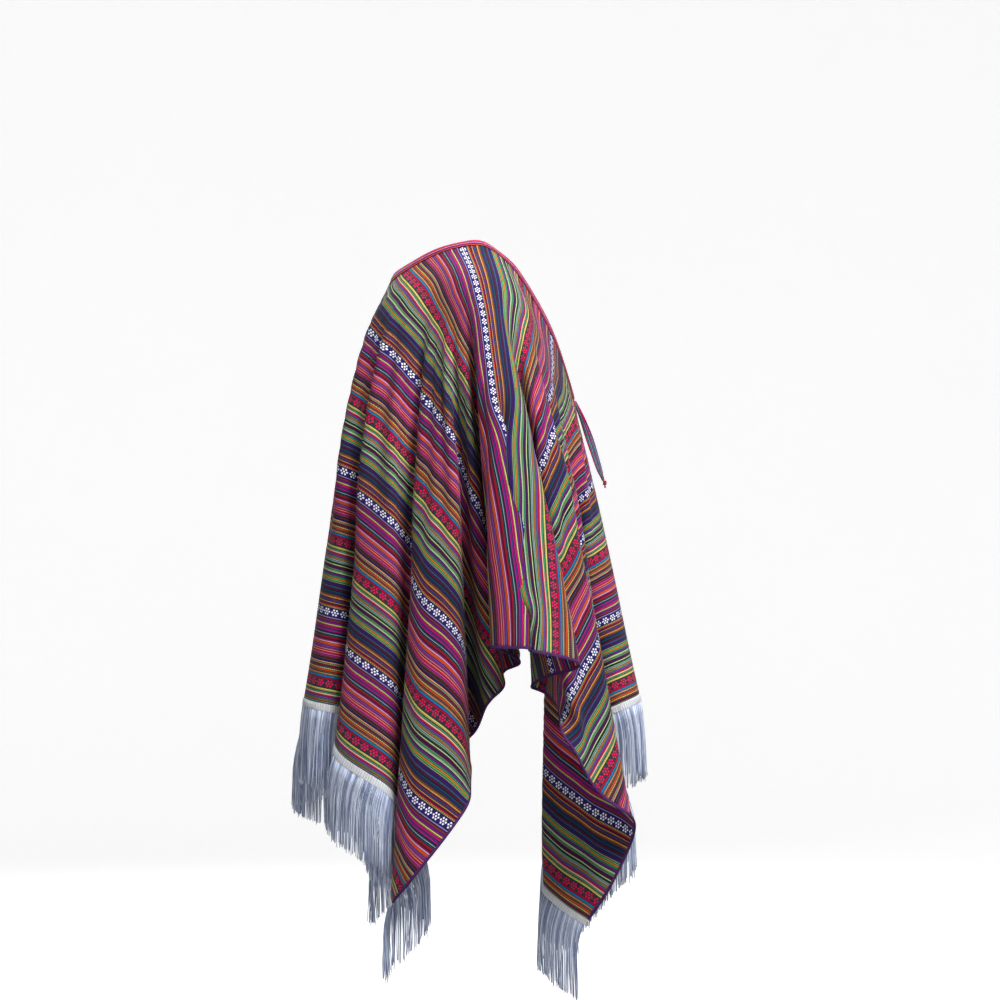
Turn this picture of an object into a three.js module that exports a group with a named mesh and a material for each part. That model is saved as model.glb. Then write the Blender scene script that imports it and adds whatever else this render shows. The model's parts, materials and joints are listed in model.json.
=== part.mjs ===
// A woven poncho in its worn, hollow form: one striped rectangle with a neck slit, a folded tape round the
// slit, overlocked side edges, and a braided header with a fringe on the front and the back hem.
//
// Frame, in millimetres: +Z up, -Y the front, +X the wearer's left. The origin lies between the shoulders,
// under the neck opening, where the wearer carries the cloth.
//
// The cloth is described by two maps from the flat cut to the worn form. The flat cut has "along" running
// from the front hem (negative) to the back hem (positive) and "across" running out from the slit. The worn
// form has "out" (away from the middle), "back" and "up". A ray runs from the slit over the shoulder to the
// cloth's edge, and the rays stand in a closed ring, placed by the distance that they have along the edge.

import * as THREE from "three";
import { mergeVertices } from "three/addons/utils/BufferGeometryUtils.js";

// ---- Driving sizes ------------------------------------------------------------------------------------

const HALF_WIDTH = 660; // slit to side edge, flat
const HALF_LENGTH = 750; // middle to front or back hem, flat
const HALF_RING = 2 * (HALF_WIDTH + HALF_LENGTH); // the edge from the centre back to the centre front
const RING = 2 * HALF_RING;

const WALL = 2.0; // the cloth's thickness
const SEAM_GAP = 0.3;
const TAPE_WIDTH = 10.0; // the neck tape's reach on each face of the cloth
const TAPE_THICKNESS = 1.2;
const TAPE_STEP = 4; // the least distance between the tape's sections
const OVERLOCK_WIDTH = 4.0;
const OVERLOCK_THICKNESS = 0.8;
const HEADER_HEIGHT = 10.5;
const HEADER_THICKNESS = 2.6;
const FRINGE_LENGTH = 106;
const FRINGE_THICKNESS = 2.2;
const FRINGE_FALL = 0.35; // 0 carries the cloth's own slope on, 1 hangs straight down
const CORNER_CLEARANCE = 4; // trims stop this far from the cloth's corners, along the edge
const TIE_DIAMETER = 3.6;
const TIE_SIDES = 8;

// ---- Tables -------------------------------------------------------------------------------------------

// The shoulders, from the centre back (station 0) round one side to the centre front (station 10).
// slit: along (flat), then out, back, up.  rim: across and along (flat), then out, back, up.
const SHOULDERS = [
  { slit: [140, 0, 118, -16], rim: [0, 230, 0, 142, -98] },
  { slit: [107, 30, 106, -12], rim: [55, 200, 68, 146, -98] },
  { slit: [66, 55, 76, 2], rim: [90, 150, 115, 105, -82] },
  { slit: [40, 68, 55, 11], rim: [110, 103, 135, 62, -72] },
  { slit: [18, 78, 36, 16], rim: [120, 50, 168, 28, -60] },
  { slit: [0, 83, 20, 19], rim: [135, 0, 193, -6, -58] },
  { slit: [-28, 85, -8, 22], rim: [135, -60, 184, -52, -70] },
  { slit: [-60, 78, -35, 6], rim: [125, -103, 152, -80, -95] },
  { slit: [-100, 64, -63, -20], rim: [100, -206, 95, -110, -160] },
  { slit: [-205, 30, -110, -100], rim: [60, -320, 58, -146, -232] },
  { slit: [-306, 0, -142, -196], rim: [0, -380, 0, -152, -268] },
];

// Each row is a ridge, a valley or a corner of the hanging cloth, on the wearer's right.
// edge: the distance along the cloth's edge from the centre back. station: where its ray crosses the
// shoulders' rim. out, back, up: where the row meets the cloth's edge.
const RIGHT_FOLDS = [
  { name: "back_round", edge: 100, station: 1.0, out: 100, back: 238, up: -622 },
  { name: "back_ridge", edge: 155, station: 1.25, out: 145, back: 200, up: -628 },
  { name: "back_valley", edge: 220, station: 1.5, out: 89, back: 156, up: -641 },
  { name: "back_inner", edge: 241, station: 1.55, out: 101, back: 141, up: -643 },
  { name: "flank_ridge", edge: 320, station: 1.8, out: 170, back: 193, up: -678 },
  { name: "flank_turn", edge: 400, station: 2.3, out: 215, back: 125, up: -722 },
  { name: "flank_valley", edge: 503, station: 2.6, out: 153, back: 88, up: -788 },
  { name: "flank_inner", edge: 527, station: 2.7, out: 166, back: 75, up: -792 },
  { name: "back_corner", edge: 660, station: 3.2, out: 245, back: 108, up: -883 },
  { name: "corner_panel", edge: 790, station: 3.6, out: 270, back: 28, up: -781 },
  { name: "corner_turn", edge: 895, station: 3.85, out: 225, back: 5, up: -700 },
  { name: "elbow_valley", edge: 985, station: 4.08, out: 180, back: 8, up: -667 },
  { name: "elbow_ridge", edge: 1070, station: 4.22, out: 228, back: -30, up: -600 },
  { name: "underarm_valley", edge: 1160, station: 4.39, out: 152, back: -44, up: -573 },
  { name: "underarm_inner", edge: 1184, station: 4.43, out: 158, back: -65, up: -571 },
  { name: "sleeve_back", edge: 1320, station: 4.7, out: 300, back: -23, up: -533 },
  { name: "sleeve_side", edge: 1360, station: 4.85, out: 325, back: -48, up: -536 },
  { name: "pleat_back", edge: 1395, station: 4.95, out: 338, back: -70, up: -541 },
  { name: "pleat_valley", edge: 1445, station: 5.1, out: 295, back: -80, up: -541 },
  { name: "pleat_front", edge: 1490, station: 5.25, out: 335, back: -88, up: -545 },
  { name: "sleeve_round", edge: 1525, station: 5.35, out: 320, back: -115, up: -552 },
  { name: "sleeve_front", edge: 1565, station: 5.5, out: 290, back: -146, up: -567 },
  { name: "front_tuck", edge: 1615, station: 5.6, out: 255, back: -110, up: -576 },
  { name: "front_valley", edge: 1700, station: 5.73, out: 175, back: -80, up: -598 },
  { name: "front_inner", edge: 1721, station: 5.77, out: 169, back: -97, up: -602 },
  { name: "front_panel", edge: 1822, station: 5.95, out: 250, back: -127, up: -626 },
  { name: "front_side", edge: 1925, station: 6.15, out: 250, back: -167, up: -731 },
  { name: "front_ridge", edge: 2010, station: 6.35, out: 205, back: -217, up: -781 },
  { name: "front_corner", edge: 2160, station: 6.7, out: 160, back: -156, up: -916 },
  { name: "turned_fold", edge: 2248, station: 6.93, out: 116, back: -94, up: -882 },
  { name: "turned_back", edge: 2275, station: 6.98, out: 98, back: -108, up: -868 },
  { name: "chest_ridge", edge: 2448, station: 7.37, out: 171, back: -192, up: -741 },
  { name: "chest_outer", edge: 2472, station: 7.43, out: 159, back: -207, up: -729 },
  { name: "chest_valley", edge: 2558, station: 7.75, out: 98, back: -140, up: -675 },
  { name: "chest_inner", edge: 2582, station: 7.9, out: 82, back: -150, up: -662 },
  { name: "chest_turn", edge: 2675, station: 8.4, out: 140, back: -200, up: -622 },
  { name: "chest_round", edge: 2720, station: 8.8, out: 100, back: -230, up: -616 },
];

const LEFT_FOLDS = [
  { name: "back_round", edge: 95, station: 1.4, out: 98, back: 228, up: -624 },
  { name: "back_valley", edge: 190, station: 2.0, out: 135, back: 165, up: -640 },
  { name: "flank_ridge", edge: 330, station: 2.6, out: 200, back: 266, up: -695 },
  { name: "flank_turn", edge: 440, station: 3.0, out: 262, back: 190, up: -735 },
  { name: "flank_valley", edge: 545, station: 3.25, out: 178, back: 135, up: -785 },
  { name: "back_corner", edge: 660, station: 3.5, out: 255, back: 145, up: -875 },
  { name: "corner_panel", edge: 810, station: 3.75, out: 285, back: 60, up: -775 },
  { name: "elbow_valley", edge: 940, station: 3.95, out: 200, back: 20, up: -700 },
  { name: "elbow_ridge", edge: 1050, station: 4.2, out: 272, back: 4, up: -635 },
  { name: "underarm_valley", edge: 1170, station: 4.4, out: 198, back: -62, up: -585 },
  { name: "sleeve_back", edge: 1300, station: 4.65, out: 305, back: -12, up: -535 },
  { name: "sleeve_side", edge: 1360, station: 4.85, out: 334, back: -42, up: -540 },
  { name: "sleeve_round", edge: 1420, station: 5.05, out: 345, back: -84, up: -545 },
  { name: "sleeve_dip", edge: 1470, station: 5.2, out: 318, back: -106, up: -549 },
  { name: "sleeve_turn", edge: 1515, station: 5.33, out: 332, back: -134, up: -556 },
  { name: "sleeve_front", edge: 1560, station: 5.5, out: 298, back: -160, up: -567 },
  { name: "front_tuck", edge: 1612, station: 5.6, out: 262, back: -120, up: -576 },
  { name: "front_valley", edge: 1700, station: 5.75, out: 190, back: -94, up: -600 },
  { name: "front_panel", edge: 1815, station: 6.0, out: 268, back: -160, up: -652 },
  { name: "front_side", edge: 1930, station: 6.2, out: 238, back: -192, up: -745 },
  { name: "front_ridge", edge: 2030, station: 6.4, out: 190, back: -228, up: -810 },
  { name: "front_corner", edge: 2160, station: 6.7, out: 200, back: -168, up: -905 },
  { name: "turned_fold", edge: 2260, station: 6.98, out: 138, back: -99, up: -863 },
  { name: "turned_back", edge: 2281, station: 7.02, out: 122, back: -111, up: -857 },
  { name: "chest_ridge", edge: 2400, station: 7.3, out: 158, back: -182, up: -775 },
  { name: "chest_valley", edge: 2510, station: 7.67, out: 115, back: -140, up: -705 },
  { name: "chest_inner", edge: 2531, station: 7.73, out: 101, back: -156, up: -695 },
  { name: "chest_turn", edge: 2630, station: 8.2, out: 165, back: -215, up: -640 },
  { name: "chest_round", edge: 2725, station: 8.8, out: 92, back: -232, up: -617 },
];

const CENTRE_BACK = { name: "centre_back", edge: 0, station: 0, out: 0, back: 232, up: -622 };
const CENTRE_FRONT = { name: "centre_front", edge: HALF_RING, station: 10, out: 0, back: -226, up: -616 };

// ---- Colours and finishes -----------------------------------------------------------------------------

const weave = new THREE.MeshStandardMaterial({ color: "#7a3f78", roughness: 0.85, metalness: 0 });
const tape = new THREE.MeshStandardMaterial({ color: "#a8284f", roughness: 0.8, metalness: 0 });
const overlock = new THREE.MeshStandardMaterial({ color: "#5b2a78", roughness: 0.8, metalness: 0 });
const rayon = new THREE.MeshStandardMaterial({ color: "#dfe3ee", roughness: 0.45, metalness: 0 });

// ---- Curves through table rows ------------------------------------------------------------------------

const mix = (a, b, t) => a + (b - a) * t;

// A cubic through values at uneven knots, with slopes from each knot's two neighbours.
function throughKnots(knots, values, at) {
  let i = knots.findIndex((k) => k > at) - 1;
  if (i < 0) i = knots.length - 2;
  i = Math.min(Math.max(i, 1), knots.length - 3);
  const h = knots[i + 1] - knots[i];
  const t = (at - knots[i]) / h;
  const slope = (j) => {
    const before = (values[j] - values[j - 1]) / (knots[j] - knots[j - 1]);
    const after = (values[j + 1] - values[j]) / (knots[j + 1] - knots[j]);
    const share = (knots[j] - knots[j - 1]) / (knots[j + 1] - knots[j - 1]);
    return mix(before, after, share);
  };
  return hermite(values[i], values[i + 1], slope(i) * h, slope(i + 1) * h, t);
}

function hermite(from, to, slopeFrom, slopeTo, t) {
  const t2 = t * t;
  const t3 = t2 * t;
  return (
    from * (2 * t3 - 3 * t2 + 1) +
    slopeFrom * (t3 - 2 * t2 + t) +
    to * (3 * t2 - 2 * t3) +
    slopeTo * (t3 - t2)
  );
}

// The shoulder row at a station, mirrored past both ends so that the curve is smooth across the middle.
function shoulderAt(station, table, column, odd) {
  const last = SHOULDERS.length - 1;
  const knots = [];
  const values = [];
  for (let k = -2; k <= last + 2; k++) {
    const inside = k < 0 ? -k : k > last ? 2 * last - k : k;
    const sign = odd && inside !== k ? -1 : 1;
    knots.push(k);
    values.push(sign * SHOULDERS[inside][table][column]);
  }
  return throughKnots(knots, values, station);
}

// ---- The cloth's mid surface --------------------------------------------------------------------------

// All rows in one ring: the right side forwards, then the left side from the front to the back.
const rightRows = [CENTRE_BACK, ...RIGHT_FOLDS, CENTRE_FRONT].map((row) => ({ ...row, side: -1 }));
const leftRows = LEFT_FOLDS.map((row) => ({ ...row, side: 1, edge: RING - row.edge })).reverse();
const ringRows = [...rightRows, ...leftRows];

const ROUNDING = 1.0; // how far each turn swells: the curve's speed at a row, 1 being the cloth's own length
const STEEPEST = 0.8; // the most that the edge may fall for each unit of its length

const rowPoint = (row) => new THREE.Vector3(row.side * row.out, row.back, row.up);
const rowAt = (k) => ringRows[((k % ringRows.length) + ringRows.length) % ringRows.length];
const edgeBetween = (from, to) => (to.edge + RING - from.edge) % RING;

// The direction at a row: level, it runs from the neighbour before to the one after, so that each turn is
// round, and it falls as the edge falls between them.
function rowDirection(k) {
  const [before, after] = [rowAt(k - 1), rowAt(k + 1)];
  const across = rowPoint(after).sub(rowPoint(before));
  const slope = across.z / edgeBetween(before, after);
  const fall = THREE.MathUtils.clamp(slope, -STEEPEST, STEEPEST);
  const level = across.setZ(0).normalize().multiplyScalar(Math.sqrt(1 - fall * fall));
  return level.multiplyScalar(ROUNDING).setZ(fall);
}

// The cloth's hanging edge, read by the distance along it.
function edgePoint(edge) {
  const next = ringRows.findIndex((row) => row.edge > edge);
  const k = next < 0 ? ringRows.length - 1 : next - 1;
  const length = edgeBetween(rowAt(k), rowAt(k + 1));
  const t = (edge - rowAt(k).edge) / length;
  const [from, to] = [rowPoint(rowAt(k)), rowPoint(rowAt(k + 1))];
  const [slopeFrom, slopeTo] = [rowDirection(k), rowDirection(k + 1)];
  const read = (axis) =>
    hermite(from[axis], to[axis], slopeFrom[axis] * length, slopeTo[axis] * length, t);
  return new THREE.Vector3(read("x"), read("y"), read("z"));
}

function stationAt(edge) {
  const inRing = ((edge % RING) + RING) % RING;
  const onSide = inRing > HALF_RING ? RING - inRing : inRing;
  const rows = inRing > HALF_RING ? LEFT_FOLDS : RIGHT_FOLDS;
  const all = [CENTRE_BACK, ...rows, CENTRE_FRONT];
  const i = Math.min(all.findIndex((row) => row.edge >= onSide), all.length - 1);
  if (i <= 0) return 0;
  const t = (onSide - all[i - 1].edge) / (all[i].edge - all[i - 1].edge);
  return mix(all[i - 1].station, all[i].station, t);
}

// Where a distance along the edge lies in the flat cut: [across, along], across always positive.
function flatEdge(edge) {
  const inRing = ((edge % RING) + RING) % RING;
  const onSide = inRing > HALF_RING ? RING - inRing : inRing;
  if (onSide < HALF_WIDTH) return [onSide, HALF_LENGTH];
  if (onSide > HALF_RING - HALF_WIDTH) return [HALF_RING - onSide, -HALF_LENGTH];
  return [HALF_WIDTH, HALF_LENGTH + HALF_WIDTH - onSide];
}

// One ray: three worn points with their flat spacing, read as a smooth curve by flat distance.
function rayAt(edge) {
  const inRing = ((edge % RING) + RING) % RING;
  const side = inRing > HALF_RING ? 1 : -1;
  const station = stationAt(inRing);
  const slitAlong = shoulderAt(station, "slit", 0, false);
  const rimAcross = shoulderAt(station, "rim", 0, true);
  const rimAlong = shoulderAt(station, "rim", 1, false);
  const [edgeAcross, edgeAlong] = flatEdge(inRing);
  const slit = new THREE.Vector3(
    side * shoulderAt(station, "slit", 1, true),
    shoulderAt(station, "slit", 2, false),
    shoulderAt(station, "slit", 3, false),
  );
  const rim = new THREE.Vector3(
    side * shoulderAt(station, "rim", 2, true),
    shoulderAt(station, "rim", 3, false),
    shoulderAt(station, "rim", 4, false),
  );
  const end = edgePoint(inRing);
  const upper = Math.hypot(rimAcross, rimAlong - slitAlong);
  const lower = Math.hypot(edgeAcross - rimAcross, edgeAlong - rimAlong);
  return { slit, rim, end, upper, lower, length: upper + lower };
}

function alongRay(ray, distance) {
  const first = ray.rim.clone().sub(ray.slit).divideScalar(ray.upper);
  const second = ray.end.clone().sub(ray.rim).divideScalar(ray.lower);
  const turn = first.clone().normalize().add(second.clone().normalize()).normalize();
  const onUpper = distance <= ray.upper;
  const [from, to] = onUpper ? [ray.slit, ray.rim] : [ray.rim, ray.end];
  const length = onUpper ? ray.upper : ray.lower;
  const slopeFrom = (onUpper ? first : turn).clone().multiplyScalar(length);
  const slopeTo = (onUpper ? turn : second).clone().multiplyScalar(length);
  const t = (onUpper ? distance : distance - ray.upper) / length;
  const read = (axis) => hermite(from[axis], to[axis], slopeFrom[axis], slopeTo[axis], t);
  return new THREE.Vector3(read("x"), read("y"), read("z"));
}

// ---- The grid of rays and rings that every piece shares ------------------------------------------------

const NARROW_PANEL = 30; // a panel no longer than this takes no ray between its rows
const SHORT_PANEL = 70; // a panel no longer than this takes one ray between its rows, a longer one two
const TURN_SHARE = 0.2; // how near a long panel's rays stand to its rows, as a share of its length
const INNER_RINGS = [0.1, 0.22, 0.38, 0.58, 0.8]; // shares of a ray's length

function raysInPanel(length) {
  if (length <= NARROW_PANEL) return [0];
  return length <= SHORT_PANEL ? [0, 0.5] : [0, TURN_SHARE, 1 - TURN_SHARE];
}

function columnEdges() {
  const found = [];
  const stops = [...ringRows.map((row) => row.edge), RING];
  for (let i = 0; i + 1 < stops.length; i++) {
    const shares = raysInPanel(stops[i + 1] - stops[i]);
    for (const share of shares) found.push(mix(stops[i], stops[i + 1], share));
  }
  const corners = [HALF_WIDTH, HALF_RING - HALF_WIDTH, HALF_RING + HALF_WIDTH, RING - HALF_WIDTH];
  for (const corner of corners) found.push(corner - CORNER_CLEARANCE, corner + CORNER_CLEARANCE);
  return found.sort((a, b) => a - b);
}

const edges = columnEdges();
const rays = edges.map(rayAt);

function ringDistances(ray) {
  const middle = INNER_RINGS.map((share) => share * ray.length);
  return [0, TAPE_WIDTH, ...middle, ray.length - OVERLOCK_WIDTH, ray.length];
}

const grid = rays.map((ray) => ringDistances(ray).map((distance) => alongRay(ray, distance)));
const RING_COUNT = grid[0].length;
const COLUMNS = grid.length;
const column = (i) => ((i % COLUMNS) + COLUMNS) % COLUMNS;

// The outward normal at a grid point, from its neighbours in the ring and on the ray.
function normalAt(i, j) {
  const around = grid[column(i + 1)][j].clone().sub(grid[column(i - 1)][j]);
  const upJ = Math.max(j - 1, 0);
  const downJ = Math.min(j + 1, RING_COUNT - 1);
  const down = grid[i][downJ].clone().sub(grid[i][upJ]);
  return around.cross(down).normalize().negate();
}

const normals = grid.map((ray, i) => ray.map((_, j) => normalAt(i, j)));
const lifted = (i, j, by) => grid[i][j].clone().addScaledVector(normals[i][j], by);

// ---- Meshes -------------------------------------------------------------------------------------------

// A solid from closed sections: each section is a loop of points, joined to the next one by quads.
// An open row of sections gets flat ends; a closed row joins its last section to its first. A strip that
// lies on another piece splits its quads along the other diagonal, because its loop runs the other way.
function sweep(sections, closed, onPiece = false) {
  const positions = [];
  const face = (a, b, c) => positions.push(...a.toArray(), ...b.toArray(), ...c.toArray());
  const size = sections[0].length;
  const steps = closed ? sections.length : sections.length - 1;
  for (let i = 0; i < steps; i++) {
    const here = sections[i];
    const next = sections[(i + 1) % sections.length];
    for (let k = 0; k < size; k++) {
      const m = (k + 1) % size;
      if (onPiece) {
        face(here[k], here[m], next[k]);
        face(here[m], next[m], next[k]);
      } else {
        face(here[k], next[m], next[k]);
        face(here[k], here[m], next[m]);
      }
    }
  }
  if (!closed) {
    const first = sections[0];
    const last = sections[sections.length - 1];
    for (const [a, b, c] of capTriangles(size)) {
      face(first[c], first[b], first[a]);
      face(last[a], last[b], last[c]);
    }
  }
  const geometry = new THREE.BufferGeometry();
  geometry.setAttribute("position", new THREE.Float32BufferAttribute(positions, 3));
  return mergeVertices(geometry, 1e-4);
}

// An end cap for a folded strip: the loop's first half runs one way, its second half runs back beside it.
function capTriangles(size) {
  const triangles = [];
  for (let k = 0; k < size / 2 - 1; k++) {
    const across = size - 1 - k;
    triangles.push([k, k + 1, across], [k + 1, across - 1, across]);
  }
  return triangles;
}

function named(name, geometry, material) {
  geometry.computeVertexNormals();
  const mesh = new THREE.Mesh(geometry, material);
  mesh.name = name;
  return mesh;
}

// The cloth: every ray's outer points down to the hem and its inner points back up to the slit.
function makeCloth() {
  const half = WALL / 2;
  const sections = rays.map((_, i) => {
    const outer = grid[i].map((_, j) => lifted(i, j, half));
    const inner = grid[i].map((_, j) => lifted(i, j, -half)).reverse();
    return [...outer, ...inner];
  });
  return named("cloth", sweep(sections, true), weave);
}

// A strip folded over the cloth's edge: a leaf on each face, joined past the edge.
function foldedOver(i, edgeRing, leafRing, thickness) {
  const near = WALL / 2 + SEAM_GAP;
  const far = near + thickness;
  const inward = grid[i][leafRing].clone().sub(grid[i][edgeRing]).normalize();
  const past = (by, lift) => lifted(i, edgeRing, lift).addScaledVector(inward, -by);
  return [
    lifted(i, leafRing, near),
    past(SEAM_GAP, near),
    past(SEAM_GAP, -near),
    lifted(i, leafRing, -near),
    lifted(i, leafRing, -far),
    past(SEAM_GAP + thickness, -far),
    past(SEAM_GAP + thickness, far),
    lifted(i, leafRing, far),
  ];
}

function columnsBetween(from, to) {
  const chosen = [];
  for (let i = 0; i < COLUMNS; i++) {
    const inside = [edges[i], edges[i] - RING].find((e) => e > from - 1e-6 && e < to + 1e-6);
    if (inside !== undefined) chosen.push({ i, edge: inside });
  }
  return chosen.sort((a, b) => a.edge - b.edge).map((entry) => entry.i);
}

// The rays crowd together over the shoulders, where the tape skips those too near the one before.
function makeNeckTape() {
  const chosen = [0];
  for (let i = 1; i < COLUMNS; i++) {
    const last = chosen[chosen.length - 1];
    if (grid[i][0].distanceTo(grid[last][0]) > TAPE_STEP) chosen.push(i);
  }
  const sections = chosen.map((i) => foldedOver(i, 0, 1, TAPE_THICKNESS));
  return named("neck_binding", sweep(sections, true, true), tape);
}

function makeSideEdge(name, from, to) {
  const last = RING_COUNT - 1;
  const chosen = columnsBetween(from + CORNER_CLEARANCE, to - CORNER_CLEARANCE);
  const sections = chosen.map((i) => foldedOver(i, last, last - 1, OVERLOCK_THICKNESS).reverse());
  return named(name, sweep(sections, false, true), overlock);
}

// The header continues the cloth past its hem, and the fringe hangs straight down under the header.
function makeHeader(name, from, to) {
  const last = RING_COUNT - 1;
  const half = HEADER_THICKNESS / 2;
  const sections = columnsBetween(from + CORNER_CLEARANCE, to - CORNER_CLEARANCE).map((i) => {
    const downward = grid[i][last].clone().sub(grid[i][last - 1]).normalize();
    const top = SEAM_GAP;
    const bottom = SEAM_GAP + HEADER_HEIGHT;
    const at = (down, lift) => lifted(i, last, lift).addScaledVector(downward, down);
    return [at(top, half), at(bottom, half), at(bottom, -half), at(top, -half)];
  });
  return named(name, sweep(sections, false, true), rayon);
}

function makeFringe(name, from, to) {
  const last = RING_COUNT - 1;
  const half = FRINGE_THICKNESS / 2;
  const sections = columnsBetween(from + CORNER_CLEARANCE, to - CORNER_CLEARANCE).map((i) => {
    const downward = grid[i][last].clone().sub(grid[i][last - 1]).normalize();
    const start = 2 * SEAM_GAP + HEADER_HEIGHT;
    const at = (lift) => lifted(i, last, lift).addScaledVector(downward, start);
    const fall = downward.clone().lerp(new THREE.Vector3(0, 0, -1), FRINGE_FALL).normalize();
    const hung = (lift) => at(lift).addScaledVector(fall, FRINGE_LENGTH);
    return [at(half), hung(half), hung(-half), at(-half)];
  });
  return named(name, sweep(sections, false), rayon);
}

// ---- The tie at the slit's front end --------------------------------------------------------------------

// Points chosen along each hanging strand, from the tape's end to the knot.
const TIE_ROUTES = {
  tie_right: [
    [-3.4, -146.6, -203],
    [-6.5, -155, -224],
    [-8.0, -167, -258],
    [-6.5, -177, -292],
    [-2.6, -184, -313],
  ],
  tie_left: [
    [3.4, -146.6, -203],
    [6.5, -154, -224],
    [8.5, -164, -258],
    [7.0, -175, -292],
    [2.6, -184, -313],
  ],
};
const TIE_STEPS = 16;
const KNOT = { x: 0, y: -186.5, z: -318.3, radius: 5, height: 12 };

function makeTie(name, route) {
  const curve = new THREE.CatmullRomCurve3(route.map((p) => new THREE.Vector3(...p)));
  const section = new THREE.Shape();
  for (let k = 0; k < TIE_SIDES; k++) {
    const angle = (2 * Math.PI * k) / TIE_SIDES;
    const x = (TIE_DIAMETER / 2) * Math.cos(angle);
    const y = (TIE_DIAMETER / 2) * Math.sin(angle);
    if (k === 0) section.moveTo(x, y);
    else section.lineTo(x, y);
  }
  section.closePath();
  const geometry = new THREE.ExtrudeGeometry(section, { steps: TIE_STEPS, extrudePath: curve });
  return named(name, geometry, tape);
}

function makeKnot() {
  const geometry = new THREE.SphereGeometry(KNOT.radius, 12, 8);
  geometry.rotateX(Math.PI / 2);
  geometry.scale(1, 1, KNOT.height / 2 / KNOT.radius);
  const mesh = named("tie_knot", geometry, tape);
  mesh.position.set(KNOT.x, KNOT.y, KNOT.z);
  return mesh;
}

// ---- The whole garment ----------------------------------------------------------------------------------

const poncho = new THREE.Group();
poncho.add(makeCloth());
poncho.add(makeNeckTape());
poncho.add(makeSideEdge("side_edge_right", HALF_WIDTH, HALF_RING - HALF_WIDTH));
poncho.add(makeSideEdge("side_edge_left", HALF_RING + HALF_WIDTH - RING, -HALF_WIDTH));
poncho.add(makeHeader("header_back", -HALF_WIDTH, HALF_WIDTH));
poncho.add(makeHeader("header_front", HALF_RING - HALF_WIDTH, HALF_RING + HALF_WIDTH));
poncho.add(makeFringe("fringe_back", -HALF_WIDTH, HALF_WIDTH));
poncho.add(makeFringe("fringe_front", HALF_RING - HALF_WIDTH, HALF_RING + HALF_WIDTH));
for (const [name, route] of Object.entries(TIE_ROUTES)) poncho.add(makeTie(name, route));
poncho.add(makeKnot());

export default poncho;
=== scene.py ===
"""A striped woven poncho in its worn, hollow form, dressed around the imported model.

The cloth is one flat rectangle with a neck slit. Its flat cut is laid on a worn form given by its folds,
eased towards its own flat sizes, creased, given its thickness, and striped by the distance along the cut.
Every trim, the neck tape, the overlocked side edges, the fringe's header and the fringe, is made from the
settled cloth.

Frame, in metres: +Z up, -Y the wearer's front, +X the wearer's left. In the flat cut, s runs across
(positive on the wearer's left) and t runs along (positive towards the back hem).
"""

import json
import logging
import math
from collections.abc import Sequence
from dataclasses import dataclass, field
from enum import Enum

import bpy
import numpy as np
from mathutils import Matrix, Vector
from mathutils.bvhtree import BVHTree
from mathutils.geometry import barycentric_transform

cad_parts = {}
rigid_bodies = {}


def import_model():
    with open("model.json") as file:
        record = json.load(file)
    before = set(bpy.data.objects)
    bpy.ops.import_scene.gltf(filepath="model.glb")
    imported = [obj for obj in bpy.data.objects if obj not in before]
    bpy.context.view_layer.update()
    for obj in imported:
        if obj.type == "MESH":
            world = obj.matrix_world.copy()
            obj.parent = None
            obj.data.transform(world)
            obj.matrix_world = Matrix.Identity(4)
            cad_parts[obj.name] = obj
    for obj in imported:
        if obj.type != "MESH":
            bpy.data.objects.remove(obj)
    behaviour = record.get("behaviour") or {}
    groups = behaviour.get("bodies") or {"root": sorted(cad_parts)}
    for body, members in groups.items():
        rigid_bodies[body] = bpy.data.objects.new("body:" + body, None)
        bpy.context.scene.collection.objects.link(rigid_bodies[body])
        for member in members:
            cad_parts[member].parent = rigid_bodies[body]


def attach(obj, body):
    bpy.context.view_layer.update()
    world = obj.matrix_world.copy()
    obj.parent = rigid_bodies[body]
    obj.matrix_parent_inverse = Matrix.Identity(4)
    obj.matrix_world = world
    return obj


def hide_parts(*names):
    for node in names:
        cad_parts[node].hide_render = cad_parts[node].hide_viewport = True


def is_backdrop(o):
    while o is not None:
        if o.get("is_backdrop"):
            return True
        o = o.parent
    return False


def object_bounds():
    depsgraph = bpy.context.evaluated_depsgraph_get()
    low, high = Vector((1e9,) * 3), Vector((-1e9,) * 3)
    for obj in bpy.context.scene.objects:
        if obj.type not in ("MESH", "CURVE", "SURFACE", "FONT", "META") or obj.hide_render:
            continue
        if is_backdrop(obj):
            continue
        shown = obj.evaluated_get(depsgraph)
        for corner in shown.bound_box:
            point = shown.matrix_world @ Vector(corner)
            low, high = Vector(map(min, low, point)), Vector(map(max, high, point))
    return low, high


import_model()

logging.basicConfig(level=logging.INFO, format="%(name)s: %(message)s")
LOG = logging.getLogger("poncho")

MM = 0.001
BODY = "root"
THREAD_SIDES = 4  # one face caps each end
Array = np.ndarray
Socket = bpy.types.NodeSocket
Colour = tuple[float, float, float, float]


# ---- The flat cut and the worn form -------------------------------------------------------------------


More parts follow.
